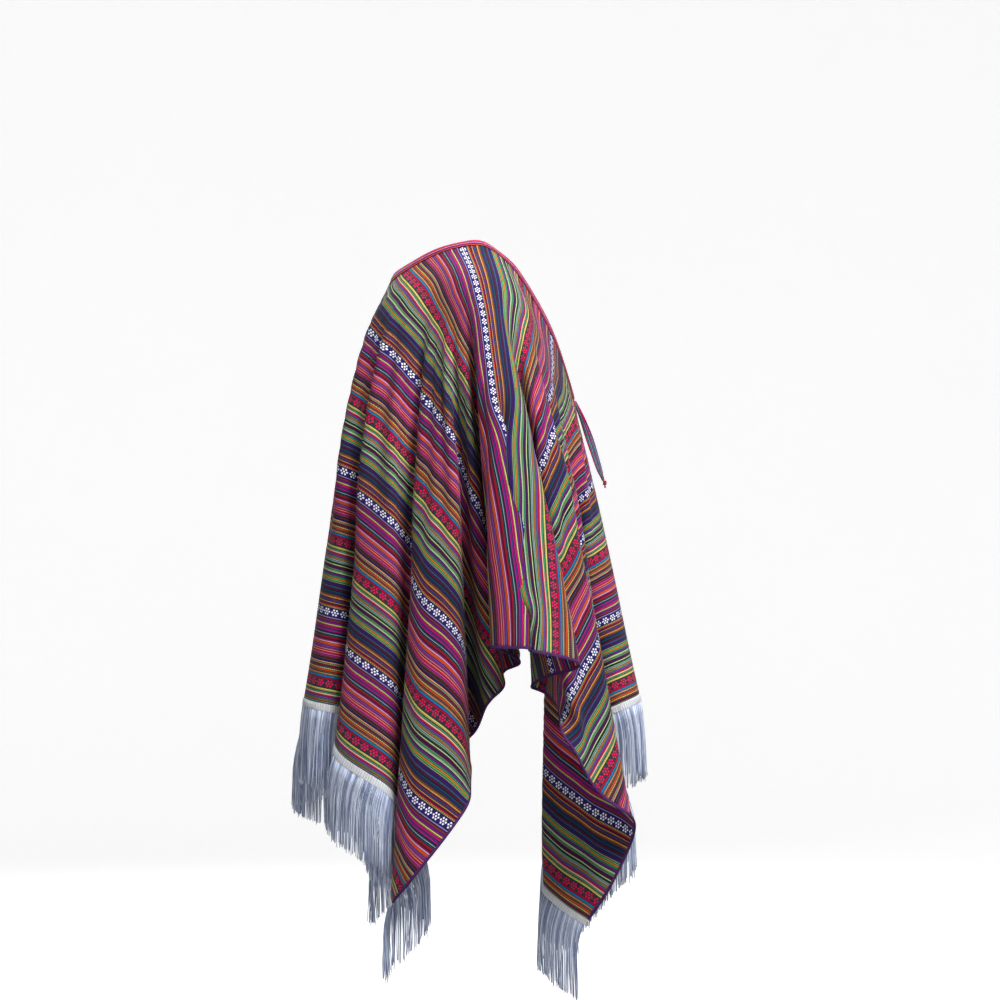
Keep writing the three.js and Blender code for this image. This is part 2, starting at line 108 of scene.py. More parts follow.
@dataclass(frozen=True)
class FlatCut:
    """The rectangle of cloth and its slit, flat on the table, in metres."""

    half_width: float = 0.660
    half_length: float = 0.750
    slit_back: float = 0.140
    slit_front: float = -0.306

    @property
    def half_ring(self) -> float:
        """Return the edge's length from the centre back to the centre front."""
        return 2.0 * (self.half_width + self.half_length)

    @property
    def ring(self) -> float:
        """Return the length of the whole edge."""
        return 2.0 * self.half_ring

    def edge_place(self, edge: Array) -> tuple[Array, Array]:
        """Find where distances along the edge lie in the cut.

        Args:
            edge: Distances from the centre back, round the wearer's right side first.

        Returns:
            s and t of each distance, with s signed.
        """
        inside = np.mod(edge, self.ring)
        left = inside > self.half_ring
        one_side = np.where(left, self.ring - inside, inside)
        across = np.where(
            one_side < self.half_width,
            one_side,
            np.where(one_side > self.half_ring - self.half_width, self.half_ring - one_side, self.half_width),
        )
        along = np.clip(
            self.half_length + self.half_width - one_side, -self.half_length, self.half_length
        )
        return np.where(left, across, -across), along


@dataclass(frozen=True)
class Fold:
    """A ridge, a valley or a corner of the hanging edge, in millimetres, on one side of the wearer.

    edge is the distance along the cloth's edge from the centre back, and station is where the fold's ray
    crosses the shoulders' rim.
    """

    name: str
    edge: float
    station: float
    out: float
    back: float
    up: float


@dataclass(frozen=True)
class ShoulderStation:
    """A ray over the shoulders, in millimetres: its points on the slit and on the shoulders' rim."""

    slit_along: float
    slit: tuple[float, float, float]
    rim_across: float
    rim_along: float
    rim: tuple[float, float, float]


SHOULDERS = (
    ShoulderStation(140, (0, 118, -16), 0, 230, (0, 142, -98)),
    ShoulderStation(107, (30, 106, -12), 55, 200, (68, 146, -98)),
    ShoulderStation(66, (55, 76, 2), 90, 150, (115, 105, -82)),
    ShoulderStation(40, (68, 55, 11), 110, 103, (135, 62, -72)),
    ShoulderStation(18, (78, 36, 16), 120, 50, (168, 28, -60)),
    ShoulderStation(0, (83, 20, 19), 135, 0, (193, -6, -58)),
    ShoulderStation(-28, (85, -8, 22), 135, -60, (184, -52, -70)),
    ShoulderStation(-60, (78, -35, 6), 125, -103, (152, -80, -95)),
    ShoulderStation(-100, (64, -63, -20), 100, -206, (95, -110, -160)),
    ShoulderStation(-205, (30, -110, -100), 60, -320, (58, -146, -232)),
    ShoulderStation(-306, (0, -142, -196), 0, -380, (0, -152, -268)),
)

CENTRE_BACK = Fold("centre_back", 0, 0, 0, 232, -622)
CENTRE_FRONT = Fold("centre_front", 2820, 10, 0, -226, -616)

RIGHT_FOLDS = (
    Fold("back_round", 100, 1.0, 100, 238, -622),
    Fold("back_ridge", 155, 1.25, 145, 200, -628),
    Fold("back_valley", 220, 1.5, 89, 156, -641),
    Fold("back_inner", 241, 1.55, 101, 141, -643),
    Fold("flank_ridge", 320, 1.8, 170, 193, -678),
    Fold("flank_turn", 400, 2.3, 215, 125, -722),
    Fold("flank_valley", 503, 2.6, 153, 88, -788),
    Fold("flank_inner", 527, 2.7, 166, 75, -792),
    Fold("back_corner", 660, 3.2, 245, 108, -883),
    Fold("corner_panel", 790, 3.6, 270, 28, -781),
    Fold("corner_turn", 895, 3.85, 225, 5, -700),
    Fold("elbow_valley", 985, 4.08, 180, 8, -667),
    Fold("elbow_ridge", 1070, 4.22, 228, -30, -600),
    Fold("underarm_valley", 1160, 4.39, 152, -44, -573),
    Fold("underarm_inner", 1184, 4.43, 158, -65, -571),
    Fold("sleeve_back", 1320, 4.7, 300, -23, -533),
    Fold("sleeve_side", 1350, 4.85, 325, -48, -536),
    Fold("pleat_back", 1377, 4.95, 338, -70, -541),
    Fold("pleat_valley", 1440, 5.1, 319, -80, -541),
    Fold("pleat_front", 1490, 5.25, 335, -88, -545),
    Fold("sleeve_round", 1525, 5.35, 320, -115, -552),
    Fold("sleeve_front", 1565, 5.5, 290, -146, -567),
    Fold("front_tuck", 1615, 5.6, 255, -110, -576),
    Fold("front_valley", 1700, 5.73, 175, -80, -598),
    Fold("front_inner", 1721, 5.77, 169, -97, -602),
    Fold("front_panel", 1822, 5.95, 250, -127, -626),
    Fold("front_side", 1925, 6.15, 250, -167, -731),
    Fold("front_ridge", 2010, 6.35, 205, -217, -781),
    Fold("front_corner", 2160, 6.7, 160, -156, -916),
    Fold("turned_fold", 2248, 6.93, 116, -94, -882),
    Fold("turned_back", 2275, 6.98, 98, -108, -868),
    Fold("chest_ridge", 2448, 7.37, 171, -192, -741),
    Fold("chest_outer", 2472, 7.43, 159, -207, -729),
    Fold("chest_valley", 2558, 7.75, 98, -140, -675),
    Fold("chest_inner", 2582, 7.9, 82, -150, -662),
    Fold("chest_turn", 2675, 8.4, 140, -200, -622),
    Fold("chest_round", 2720, 8.8, 100, -230, -616),
)

LEFT_FOLDS = (
    Fold("back_round", 95, 1.4, 98, 228, -624),
    Fold("back_valley", 190, 2.0, 135, 165, -640),
    Fold("flank_ridge", 330, 2.6, 200, 266, -695),
    Fold("flank_turn", 440, 3.0, 262, 190, -735),
    Fold("flank_valley", 545, 3.25, 178, 135, -785),
    Fold("back_corner", 660, 3.5, 255, 145, -875),
    Fold("corner_panel", 810, 3.75, 285, 60, -775),
    Fold("elbow_valley", 940, 3.95, 200, 20, -700),
    Fold("elbow_ridge", 1050, 4.2, 272, 4, -635),
    Fold("underarm_valley", 1170, 4.4, 198, -62, -585),
    Fold("sleeve_back", 1300, 4.65, 305, -12, -535),
    Fold("sleeve_side", 1360, 4.85, 334, -42, -540),
    Fold("sleeve_round", 1420, 5.05, 345, -84, -545),
    Fold("sleeve_dip", 1470, 5.2, 318, -106, -549),
    Fold("sleeve_turn", 1515, 5.33, 332, -134, -556),
    Fold("sleeve_front", 1560, 5.5, 298, -160, -567),
    Fold("front_tuck", 1612, 5.6, 262, -120, -576),
    Fold("front_valley", 1700, 5.75, 190, -94, -600),
    Fold("front_panel", 1815, 6.0, 268, -160, -652),
    Fold("front_side", 1930, 6.2, 238, -192, -745),
    Fold("front_ridge", 2030, 6.4, 190, -228, -810),
    Fold("front_corner", 2160, 6.7, 200, -168, -905),
    Fold("turned_fold", 2260, 6.98, 138, -99, -863),
    Fold("turned_back", 2281, 7.02, 122, -111, -857),
    Fold("chest_ridge", 2400, 7.3, 158, -182, -775),
    Fold("chest_valley", 2510, 7.67, 115, -140, -705),
    Fold("chest_inner", 2531, 7.73, 101, -156, -695),
    Fold("chest_turn", 2630, 8.2, 165, -215, -640),
    Fold("chest_round", 2725, 8.8, 92, -232, -617),
)


def hermite(start: Array, end: Array, slope_start: Array, slope_end: Array, t: Array) -> Array:
    """Blend two values with their slopes.

    Args:
        start: Value at t = 0.
        end: Value at t = 1.
        slope_start: Slope at t = 0, over the whole span.
        slope_end: Slope at t = 1, over the whole span.
        t: Place in the span.

    Returns:
        The value at t.
    """
    t2, t3 = t * t, t * t * t
    return (
        start * (2 * t3 - 3 * t2 + 1)
        + slope_start * (t3 - 2 * t2 + t)
        + end * (3 * t2 - 2 * t3)
        + slope_end * (t3 - t2)
    )


def unit(vectors: Array) -> Array:
    """Return vectors at length one."""
    return vectors / np.maximum(np.linalg.norm(vectors, axis=-1, keepdims=True), 1e-12)


@dataclass
class WornForm:
    """The worn surface, read by rays that run from the slit over the shoulders to the hanging edge."""

    cut: FlatCut
    rounding: float = 1.0
    steepest: float = 0.8
    rows: Array = field(init=False)
    slopes: Array = field(init=False)
    row_edges: Array = field(init=False)

    def __post_init__(self) -> None:
        """Lay all folds out in one ring and give each its direction."""
        right = [(-1, fold, fold.edge) for fold in (CENTRE_BACK, *RIGHT_FOLDS, CENTRE_FRONT)]
        ring = self.cut.ring / MM
        left = [(1, fold, ring - fold.edge) for fold in reversed(LEFT_FOLDS)]
        entries = right + left
        self.rows = MM * np.array([(side * fold.out, fold.back, fold.up) for side, fold, _ in entries])
        self.row_edges = MM * np.array([edge for _, _, edge in entries])
        before, after = np.roll(self.rows, 1, axis=0), np.roll(self.rows, -1, axis=0)
        spans = np.mod(np.roll(self.row_edges, -1) - np.roll(self.row_edges, 1), self.cut.ring)
        across = after - before
        fall = np.clip(across[:, 2] / spans, -self.steepest, self.steepest)
        level = unit(across * (1, 1, 0)) * np.sqrt(1 - fall**2)[:, None]
        self.slopes = self.rounding * level
        self.slopes[:, 2] = fall

    def edge_point(self, edge: Array) -> Array:
        """Return the hanging edge's points at distances along it."""
        inside = np.mod(edge, self.cut.ring)
        k = np.searchsorted(self.row_edges, inside, side="right") - 1
        n = (k + 1) % len(self.rows)
        length = np.mod(self.row_edges[n] - self.row_edges[k], self.cut.ring)[:, None]
        t = (inside - self.row_edges[k])[:, None] / length
        return hermite(self.rows[k], self.rows[n], self.slopes[k] * length, self.slopes[n] * length, t)

    def station(self, edge: Array) -> Array:
        """Return where each edge distance's ray crosses the shoulders' rim."""
        inside = np.mod(edge, self.cut.ring)
        left = inside > self.cut.half_ring
        one_side = np.where(left, self.cut.ring - inside, inside) / MM
        read = []
        for folds in (RIGHT_FOLDS, LEFT_FOLDS):
            table = (CENTRE_BACK, *folds, CENTRE_FRONT)
            read.append(np.interp(one_side, [f.edge for f in table], [f.station for f in table]))
        return np.where(left, read[1], read[0])

    @staticmethod
    def over_shoulders(station: Array, values: Sequence[float], odd: bool) -> Array:
        """Read one column of the shoulder table smoothly, mirrored past both ends.

        Args:
            station: Places in the table.
            values: The column, one value for each station.
            odd: Whether the column changes sign across the middle.

        Returns:
            The column's value at each place.
        """
        column = np.asarray(values, dtype=float)
        sign = -1.0 if odd else 1.0
        padded = np.concatenate([sign * column[2:0:-1], column, sign * column[-2:-4:-1]])
        i = np.clip(np.floor(station).astype(int), 0, len(column) - 2) + 2
        slope = (padded[2:] - padded[:-2]) / 2
        return hermite(padded[i], padded[i + 1], slope[i - 1], slope[i], station + 2 - i)

    def surface(self, edges: Array, shares: Array) -> tuple[Array, Array]:
        """Lay a grid of rays and rings on the worn form.

        Args:
            edges: The rays, as distances along the edge.
            shares: The rings, as shares of each ray's length.

        Returns:
            Points in space and points in the flat cut, each a grid of rays by rings.
        """
        station = self.station(edges)
        side = np.where(np.mod(edges, self.cut.ring) > self.cut.half_ring, 1.0, -1.0)
        read = self.over_shoulders
        rim_across = MM * read(station, [s.rim_across for s in SHOULDERS], True)
        rim_along = MM * read(station, [s.rim_along for s in SHOULDERS], False)
        slit_along = MM * read(station, [s.slit_along for s in SHOULDERS], False)
        slit = MM * np.stack([read(station, [s.slit[a] for s in SHOULDERS], a == 0) for a in range(3)], 1)
        rim = MM * np.stack([read(station, [s.rim[a] for s in SHOULDERS], a == 0) for a in range(3)], 1)
        slit[:, 0] *= side
        rim[:, 0] *= side
        end = self.edge_point(edges)
        end_s, end_t = self.cut.edge_place(edges)
        flat_slit = np.stack([np.zeros_like(slit_along), slit_along], 1)
        flat_rim = np.stack([side * rim_across, rim_along], 1)
        flat_end = np.stack([end_s, end_t], 1)
        upper = np.linalg.norm(flat_rim - flat_slit, axis=1)[:, None]
        lower = np.linalg.norm(flat_end - flat_rim, axis=1)[:, None]
        first, second = (rim - slit) / upper, (end - rim) / lower
        turn = unit(unit(first) + unit(second))
        distance = shares[None, :] * (upper + lower)
        on_upper = distance <= upper
        t = np.where(on_upper, distance / upper, (distance - upper) / lower)[..., None]
        low, up = lower[:, None], upper[:, None]
        shoulder = hermite(slit[:, None], rim[:, None], first[:, None] * up, turn[:, None] * up, t)
        hanging = hermite(rim[:, None], end[:, None], turn[:, None] * low, second[:, None] * low, t)
        points = np.where(on_upper[..., None], shoulder, hanging)
        flat = np.where(
            on_upper[..., None],
            flat_slit[:, None] + (flat_rim - flat_slit)[:, None] * t,
            flat_rim[:, None] + (flat_end - flat_rim)[:, None] * t,
        )
        return points, flat


# ---- The cloth's net ----------------------------------------------------------------------------------


@dataclass
class ClothNet:
    """A regular net over the flat cut. Its middle column is kept twice, so that the slit can open."""

    s: Array
    t: Array
    open_rows: Array
    points: Array

    @property
    def middle(self) -> int:
        """Return the wearer's right copy of the middle column."""
        return len(self.s) // 2 - 1

    def halves(self, grid: Array) -> tuple[Array, Array]:
        """Return views of a grid's halves, on the wearer's right and left of the slit."""
        return grid[:, : self.middle + 1], grid[:, self.middle + 1 :]

    def close(self, grid: Array) -> None:
        """Bring both copies of the middle together outside the slit."""
        shut, m = ~self.open_rows, self.middle
        grid[shut, m : m + 2] = (grid[shut, m] + grid[shut, m + 1])[:, None] / 2

    @classmethod
    def over(cls, cut: FlatCut, cell: float) -> "ClothNet":
        """Lay a net of about one cell size on the cut, with rows at both ends of the slit.

        Args:
            cut: The flat cloth.
            cell: The net's cell size.

        Returns:
            The net, with all its points still flat.
        """
        half = np.linspace(-cut.half_width, 0.0, round(cut.half_width / cell) + 1)
        s = np.concatenate([half, -half[::-1]])
        stops = (-cut.half_length, cut.slit_front, cut.slit_back, cut.half_length)
        runs = [
            np.linspace(low, high, round((high - low) / cell) + 1)[:-1] for low, high in zip(stops, stops[1:])
        ]
        t = np.concatenate([*runs, [cut.half_length]])
        open_rows = (t > cut.slit_front + 1e-6) & (t < cut.slit_back - 1e-6)
        grid_s, grid_t = np.meshgrid(s, t)
        return cls(s, t, open_rows, np.stack([grid_s, grid_t, np.zeros_like(grid_s)], axis=-1))

    def ids(self) -> Array:
        """Return each net point's vertex number, shared by both middle columns outside the slit."""
        rows, columns = len(self.t), len(self.s)
        own = np.ones((rows, columns), dtype=bool)
        own[~self.open_rows, self.middle + 1] = False
        numbers = np.cumsum(own.ravel()).reshape(rows, columns) - 1
        shut = ~self.open_rows
        numbers[shut, self.middle + 1] = numbers[shut, self.middle]
        return numbers

    def vertices(self, values: Array) -> Array:
        """Return one value for each vertex from a grid of values."""
        numbers = self.ids()
        found = np.zeros((numbers.max() + 1, *values.shape[2:]))
        found[numbers.ravel()] = values.reshape(-1, *values.shape[2:])
        return found

    def quads(self) -> Array:
        """Return the net's faces, four vertex numbers each, facing out of the worn cloth."""
        n = self.ids()
        faces = np.stack([n[:-1, :-1], n[:-1, 1:], n[1:, 1:], n[1:, :-1]], axis=-1)
        return np.delete(faces, self.middle, axis=1).reshape(-1, 4)

    def finer(self) -> "ClothNet":
        """Return a net with a row and a column more in every gap, on the smooth surface between."""
        shut = ~self.open_rows
        m = self.middle
        across_open = np.concatenate([self._between(half, 1) for half in self.halves(self.points)], axis=1)
        joined = self._between(np.delete(self.points, m + 1, axis=1), 1)
        joined = np.insert(joined, 2 * m + 1, joined[:, 2 * m], axis=1)
        across = np.where(shut[:, None, None], joined, across_open)
        points = self._between(across, 0)
        s = np.concatenate([self._between(half, 1) for half in self.halves(self.s[None])], axis=1)[0]
        t = np.linspace(0, 1, 2 * len(self.t) - 1)
        t = np.interp(t, np.linspace(0, 1, len(self.t)), self.t)
        open_rows = np.zeros(len(t), dtype=bool)
        open_rows[::2] = self.open_rows
        open_rows[1::2] = self.open_rows[:-1] | self.open_rows[1:]
        made = ClothNet(s, t, open_rows, points)
        made.close(points)
        return made

    @staticmethod
    def _between(values: Array, axis: int) -> Array:
        """Insert a value in each gap of an axis, on a cubic through the four nearest."""
        v = np.moveaxis(values, axis, 0)
        first, last = 3 * (v[:1] - v[1:2]) + v[2:3], 3 * (v[-1:] - v[-2:-1]) + v[-3:-2]
        wide = np.concatenate([first, v, last])
        middle = (9 * (wide[1:-2] + wide[2:-1]) - wide[:-3] - wide[3:]) / 16
        found = np.zeros((2 * len(v) - 1, *v.shape[1:]))
        found[::2] = v
        found[1::2] = middle
        return np.moveaxis(found, 0, axis)

    def normals(self) -> Array:
        """Return the outward normal at each net point."""
        halves = self.halves(self.points)
        sides = [np.cross(np.gradient(half, axis=1), np.gradient(half, axis=0)) for half in halves]
        found = unit(np.concatenate(sides, axis=1))
        self.close(found)
        shut, m = ~self.open_rows, self.middle
        found[shut, m : m + 2] = unit(found[shut, m : m + 2])
        return found


def worn_start(net: ClothNet, form: WornForm) -> Array:
    """Carry each point of a flat net to the worn form, through a fine loft of it.

    Args:
        net: The net, whose s and t are read.
        form: The worn form.

    Returns:
        The net's points in space, as a grid.
    """
    edges = np.arange(0.0, form.cut.ring, 6 * MM)
    shares = np.linspace(0.0, 1.0, 91)
    points, flat = form.surface(edges, shares)
    flat3 = np.concatenate([flat, np.zeros((*flat.shape[:2], 1))], axis=-1)
    rays, rings = flat.shape[:2]
    number = np.arange(rays * rings).reshape(rays, rings)
    nxt = np.roll(number, -1, axis=0)
    first = np.stack([number[:, :-1], nxt[:, :-1], nxt[:, 1:]], axis=-1).reshape(-1, 3)
    second = np.stack([number[:, :-1], nxt[:, 1:], number[:, 1:]], axis=-1).reshape(-1, 3)
    triangles = np.concatenate([first, second])
    flat_list = [Vector(p) for p in flat3.reshape(-1, 3)]
    point_list = [Vector(p) for p in points.reshape(-1, 3)]
    tree = BVHTree.FromPolygons(flat_list, triangles.tolist())
    nudge = np.zeros(len(net.s))
    nudge[net.middle], nudge[net.middle + 1] = -1e-5, 1e-5
    placed = np.zeros((len(net.t), len(net.s), 3))
    for j, t in enumerate(net.t):
        for i, s in enumerate(net.s + nudge):
            place, _, face, _ = tree.find_nearest(Vector((s, t, 0.0)))
            a, b, c = triangles[face]
            placed[j, i] = barycentric_transform(
                place, flat_list[a], flat_list[b], flat_list[c], point_list[a], point_list[b], point_list[c]
            )
    return placed


# ---- Easing the cloth towards its own sizes -------------------------------------------------------------


def deselect_all() -> None:
    """Leave nothing selected, so that an operator acts only on what is chosen next."""
    bpy.ops.object.select_all(action="DESELECT")


def linked(name: str, data: bpy.types.ID) -> bpy.types.Object:
    """Make an object of some data and link it to the scene."""
    made = bpy.data.objects.new(name, data)
    bpy.context.collection.objects.link(made)
    return made


def turn_faces(inside: bool = False) -> None:
    """Turn all faces of the mesh in edit mode outwards, or inwards, and leave edit mode."""
    bpy.ops.mesh.select_all(action="SELECT")
    bpy.ops.mesh.normals_make_consistent(inside=inside)
    bpy.ops.object.mode_set(mode="OBJECT")


def mesh_object(name: str, vertices: Array, faces: Array) -> bpy.types.Object:
    """Make an object from points and faces, and link it to the scene.

    Args:
        name: The piece's name.
        vertices: Points, in metres.
        faces: Vertex numbers of each face, in rows of one length.

    Returns:
        The new object, active and alone in the selection.
    """
    mesh = bpy.data.meshes.new(name)
    mesh.from_pydata(np.asarray(vertices).tolist(), [], np.asarray(faces).tolist())
    mesh.validate()
    made = linked(name, mesh)
    deselect_all()
    made.select_set(True)
    bpy.context.view_layer.objects.active = made
    return made


def give_uv(made: bpy.types.Object, places: Array) -> None:
    """Give a mesh one UV map, from one place for each vertex.

    Args:
        made: The object.
        places: Two numbers for each vertex, in metres.
    """
    mesh = made.data
    corners = np.zeros(len(mesh.loops), dtype=np.int32)
    mesh.loops.foreach_get("vertex_index", corners)
    layer = mesh.uv_layers.new(name="cut")
    layer.data.foreach_set("uv", np.asarray(places)[corners].ravel())


def pull_pairs(points: Array, change: Array, first: tuple, second: tuple, rest: Array, pull: float) -> None:
    """Add the moves that bring pairs of points towards their own distance apart.

    Args:
        points: The grid of points.
        change: The grid of moves, added to.
        first: Index of each pair's first point.
        second: Index of each pair's second point.
        rest: The pairs' own distances.
        pull: Share of the difference that is taken up.
    """
    gap = points[second] - points[first]
    length = np.maximum(np.linalg.norm(gap, axis=-1, keepdims=True), 1e-9)
    step = 0.5 * pull * (1.0 - rest / length) * gap
    change[first] += step
    change[second] -= step


def straighten(points: Array, change: Array, ease: Array) -> None:
    """Add the moves that straighten each run of three points down a grid's first axis.

    Args:
        points: The grid of points.
        change: The grid of moves, added to.
        ease: Share of each bend that is taken out.
    """
    bend = ease[1:-1] * ((points[:-2] + points[2:]) / 2 - points[1:-1])
    change[1:-1] += bend
    change[:-2] -= bend / 2
    change[2:] -= bend / 2


@dataclass(frozen=True)
class Drape:
    """How the laid-on cloth is eased towards its own flat sizes.

    Each step pulls the gaps between net points towards their flat lengths, eases out sharp creases and
    holds the cloth to the worn form: firmly at the neck, and mostly square to its surface elsewhere. The
    lengths may stay between gathered, or neck_gathered, and drawn times the flat ones, so they aren't met.
    """

    steps: int = 240
    refresh: int = 20
    pull: float = 0.45
    shear: float = 0.06
    ease: float = 0.06
    neck_ease: float = 0.16
    hold_across: float = 0.06
    hold_along: float = 0.004
    neck_hold: float = 0.30
    carry: float = 0.90
    gathered: float = 0.88
    neck_gathered: float = 0.68
    drawn: float = 1.10
    firm_within: float = 0.05
    free_beyond: float = 0.17
    neck_reach: float = 0.42

    @staticmethod
    def near_slit(net: ClothNet, cut: FlatCut, within: float, beyond: float) -> Array:
        """Return 1 for each net point close to the slit, falling to 0 at some distance from it."""
        grid_s, grid_t = np.meshgrid(net.s, net.t)
        past_slit = np.maximum(np.maximum(grid_t - cut.slit_back, cut.slit_front - grid_t), 0.0)
        away = np.hypot(grid_s, past_slit)
        share = np.clip((away - within) / (beyond - within), 0.0, 1.0)
        return (1.0 - share * share * (3.0 - 2.0 * share))[..., None]

    def relax(self, net: ClothNet, placed: Array, cut: FlatCut) -> Array:
        """Ease the cloth towards its own flat sizes, near its place.

        Args:
            net: The flat net.
            placed: The net's points on the worn form.
            cut: The flat cut.

        Returns:
            The relaxed points, as a grid.
        """
        form = BVHTree.FromPolygons([Vector(p) for p in net.vertices(placed)], net.quads().tolist())
        firm = self.near_slit(net, cut, self.firm_within, self.free_beyond)
        lengths = self._own_lengths(net, placed, self.near_slit(net, cut, self.free_beyond, self.neck_reach))
        hold_along = self.hold_along + (self.neck_hold - self.hold_along) * firm
        ease = self.ease + (self.neck_ease - self.ease) * firm
        points, before = placed.copy(), placed.copy()
        nearest, square = placed.copy(), np.zeros_like(placed)
        for step in range(self.steps):
            if step % self.refresh == 0:
                for place in np.ndindex(points.shape[:2]):
                    found, normal, _, _ = form.find_nearest(Vector(points[place]))
                    nearest[place], square[place] = found, normal
            change = self._springs(net, points, lengths)
            change += self._eased(net, points, ease)
            change += self.hold_across * np.sum((nearest - points) * square, axis=2, keepdims=True) * square
            change += hold_along * (placed - points)
            moved = points + change + self.carry * (points - before)
            net.close(moved)
            before, points = points, moved
        return points

    def _own_lengths(self, net: ClothNet, placed: Array, near: Array) -> tuple[Array, Array, Array]:
        """Return the lengths that the cloth goes to, along both threads and the diagonals.

        The flat lengths count, but where the form gathers or draws the cloth, most near the neck, a little
        of that stays, as in cloth that gives.
        """
        beside = np.delete(np.arange(len(net.s) - 1), net.middle)
        least = self.gathered + (self.neck_gathered - self.gathered) * near
        flat_s = np.diff(net.s)[None, beside, None]
        flat_t = np.diff(net.t)[:, None, None]
        laid_s = np.linalg.norm(placed[:, beside + 1] - placed[:, beside], axis=2, keepdims=True)
        laid_t = np.linalg.norm(np.diff(placed, axis=0), axis=2, keepdims=True)
        gap_s = flat_s * np.clip(laid_s / flat_s, least[:, beside], self.drawn)
        gap_t = flat_t * np.clip(laid_t / flat_t, least[:-1], self.drawn)
        beside_s = (gap_s[:-1] + gap_s[1:]) / 2
        beside_t = (gap_t[:, beside] + gap_t[:, beside + 1]) / 2
        return gap_s, gap_t, np.hypot(beside_s, beside_t)

    def _springs(self, net: ClothNet, points: Array, lengths: tuple[Array, Array, Array]) -> Array:
        """Return the moves towards the cloth's own lengths, along both threads and across both diagonals."""
        change = np.zeros_like(points)
        beside = np.delete(np.arange(len(net.s) - 1), net.middle)
        gap_s, gap_t, diagonal = lengths
        low, high, every = np.s_[:-1], np.s_[1:], np.s_[:]
        pull_pairs(points, change, (every, beside), (every, beside + 1), gap_s, self.pull)
        pull_pairs(points, change, (low,), (high,), gap_t, self.pull)
        pull_pairs(points, change, (low, beside), (high, beside + 1), diagonal, self.shear)
        pull_pairs(points, change, (low, beside + 1), (high, beside), diagonal, self.shear)
        return change

    @staticmethod
    def _eased(net: ClothNet, points: Array, ease: Array) -> Array:
        """Return the moves that straighten each run of three points a little."""
        change = np.zeros_like(points)
        straighten(points, change, ease)
        for grids in zip(*(net.halves(grid) for grid in (points, change, ease))):
            straighten(*(grid.swapaxes(0, 1) for grid in grids))
        return change


@dataclass(frozen=True)
class CreaseFan:
    """Soft creases that fan out from the neck: how many go round it, their height and their phase."""

    count: int
    height: float
    phase: float


@dataclass(frozen=True)
class Creases:
    """The small creases that lie on the cloth between its folds."""

    fans: tuple[CreaseFan, ...] = (
        CreaseFan(43, 1.5 * MM, 0.4),
        CreaseFan(71, 1.1 * MM, 2.1),
        CreaseFan(103, 0.5 * MM, 4.4),
    )
    neck: float = -0.06
    starts: float = 0.17
    grows: float = 0.16
    ends: float = 0.62
    at_back: float = 2.4

    def lay(self, net: ClothNet) -> None:
        """Raise and lower the net's points along its normals."""
        across, along = np.meshgrid(net.s, net.t)
        angle = np.arctan2(along - self.neck, across)
        radius = np.hypot(across, along - self.neck)
        reach = np.minimum(radius - self.starts, self.ends - radius) / self.grows
        reach = np.clip(reach, 0.0, 1.0)
        rise = sum(fan.height * np.sin(fan.count * angle + fan.phase) for fan in self.fans)
        rise = rise * (1 + self.at_back * np.clip(np.sin(angle), 0.0, 1.0) ** 2)
        net.points = net.points + (rise * reach * reach * (3 - 2 * reach))[..., None] * net.normals()


@dataclass
class ClothSurface:
    """The draped cloth, read at any place of its flat cut."""

    net: ClothNet
    facing: Array = field(init=False)

    def __post_init__(self) -> None:
        self.facing = self.net.normals()

    def read(self, grid: Array, s: Array, t: Array, side: Array) -> Array:
        """Read a grid of values between its points.

        Args:
            grid: Values at the net's points.
            s: Places across the cut.
            t: Places along the cut.
            side: Below 0 for the wearer's right copy of the middle, above 0 for the left.

        Returns:
            The values at those places.
        """
        middle, last = self.net.middle, len(self.net.s) - 1
        cell = self.net.s[1] - self.net.s[0]
        right = side < 0
        column = np.where(right, (s - self.net.s[0]) / cell, middle + 1 + s / cell)
        first = np.where(right, 0, middle + 1)
        final = np.where(right, middle, last)
        column = np.clip(column, first, final)
        row = np.interp(t, self.net.t, np.arange(len(self.net.t)))
        i = np.minimum(np.floor(row).astype(int), len(self.net.t) - 2)
        j = np.minimum(np.floor(column).astype(int), final - 1)
        u, v = (row - i)[..., None], (column - j)[..., None]
        near = (1 - v) * grid[i, j] + v * grid[i, j + 1]
        far = (1 - v) * grid[i + 1, j] + v * grid[i + 1, j + 1]
        return (1 - u) * near + u * far

    def point(self, s: Array, t: Array, side: Array, lift: Array | float = 0.0) -> Array:
        """Return points over the cloth, lifted along its outward side."""
        base = self.read(self.net.points, s, t, side)
        if np.isscalar(lift) and not lift:
            return base
        return base + np.asarray(lift)[..., None] * self.normal(s, t, side)

    def normal(self, s: Array, t: Array, side: Array) -> Array:
        """Return the outward normals at places of the cut."""
        return unit(self.read(self.facing, s, t, side))


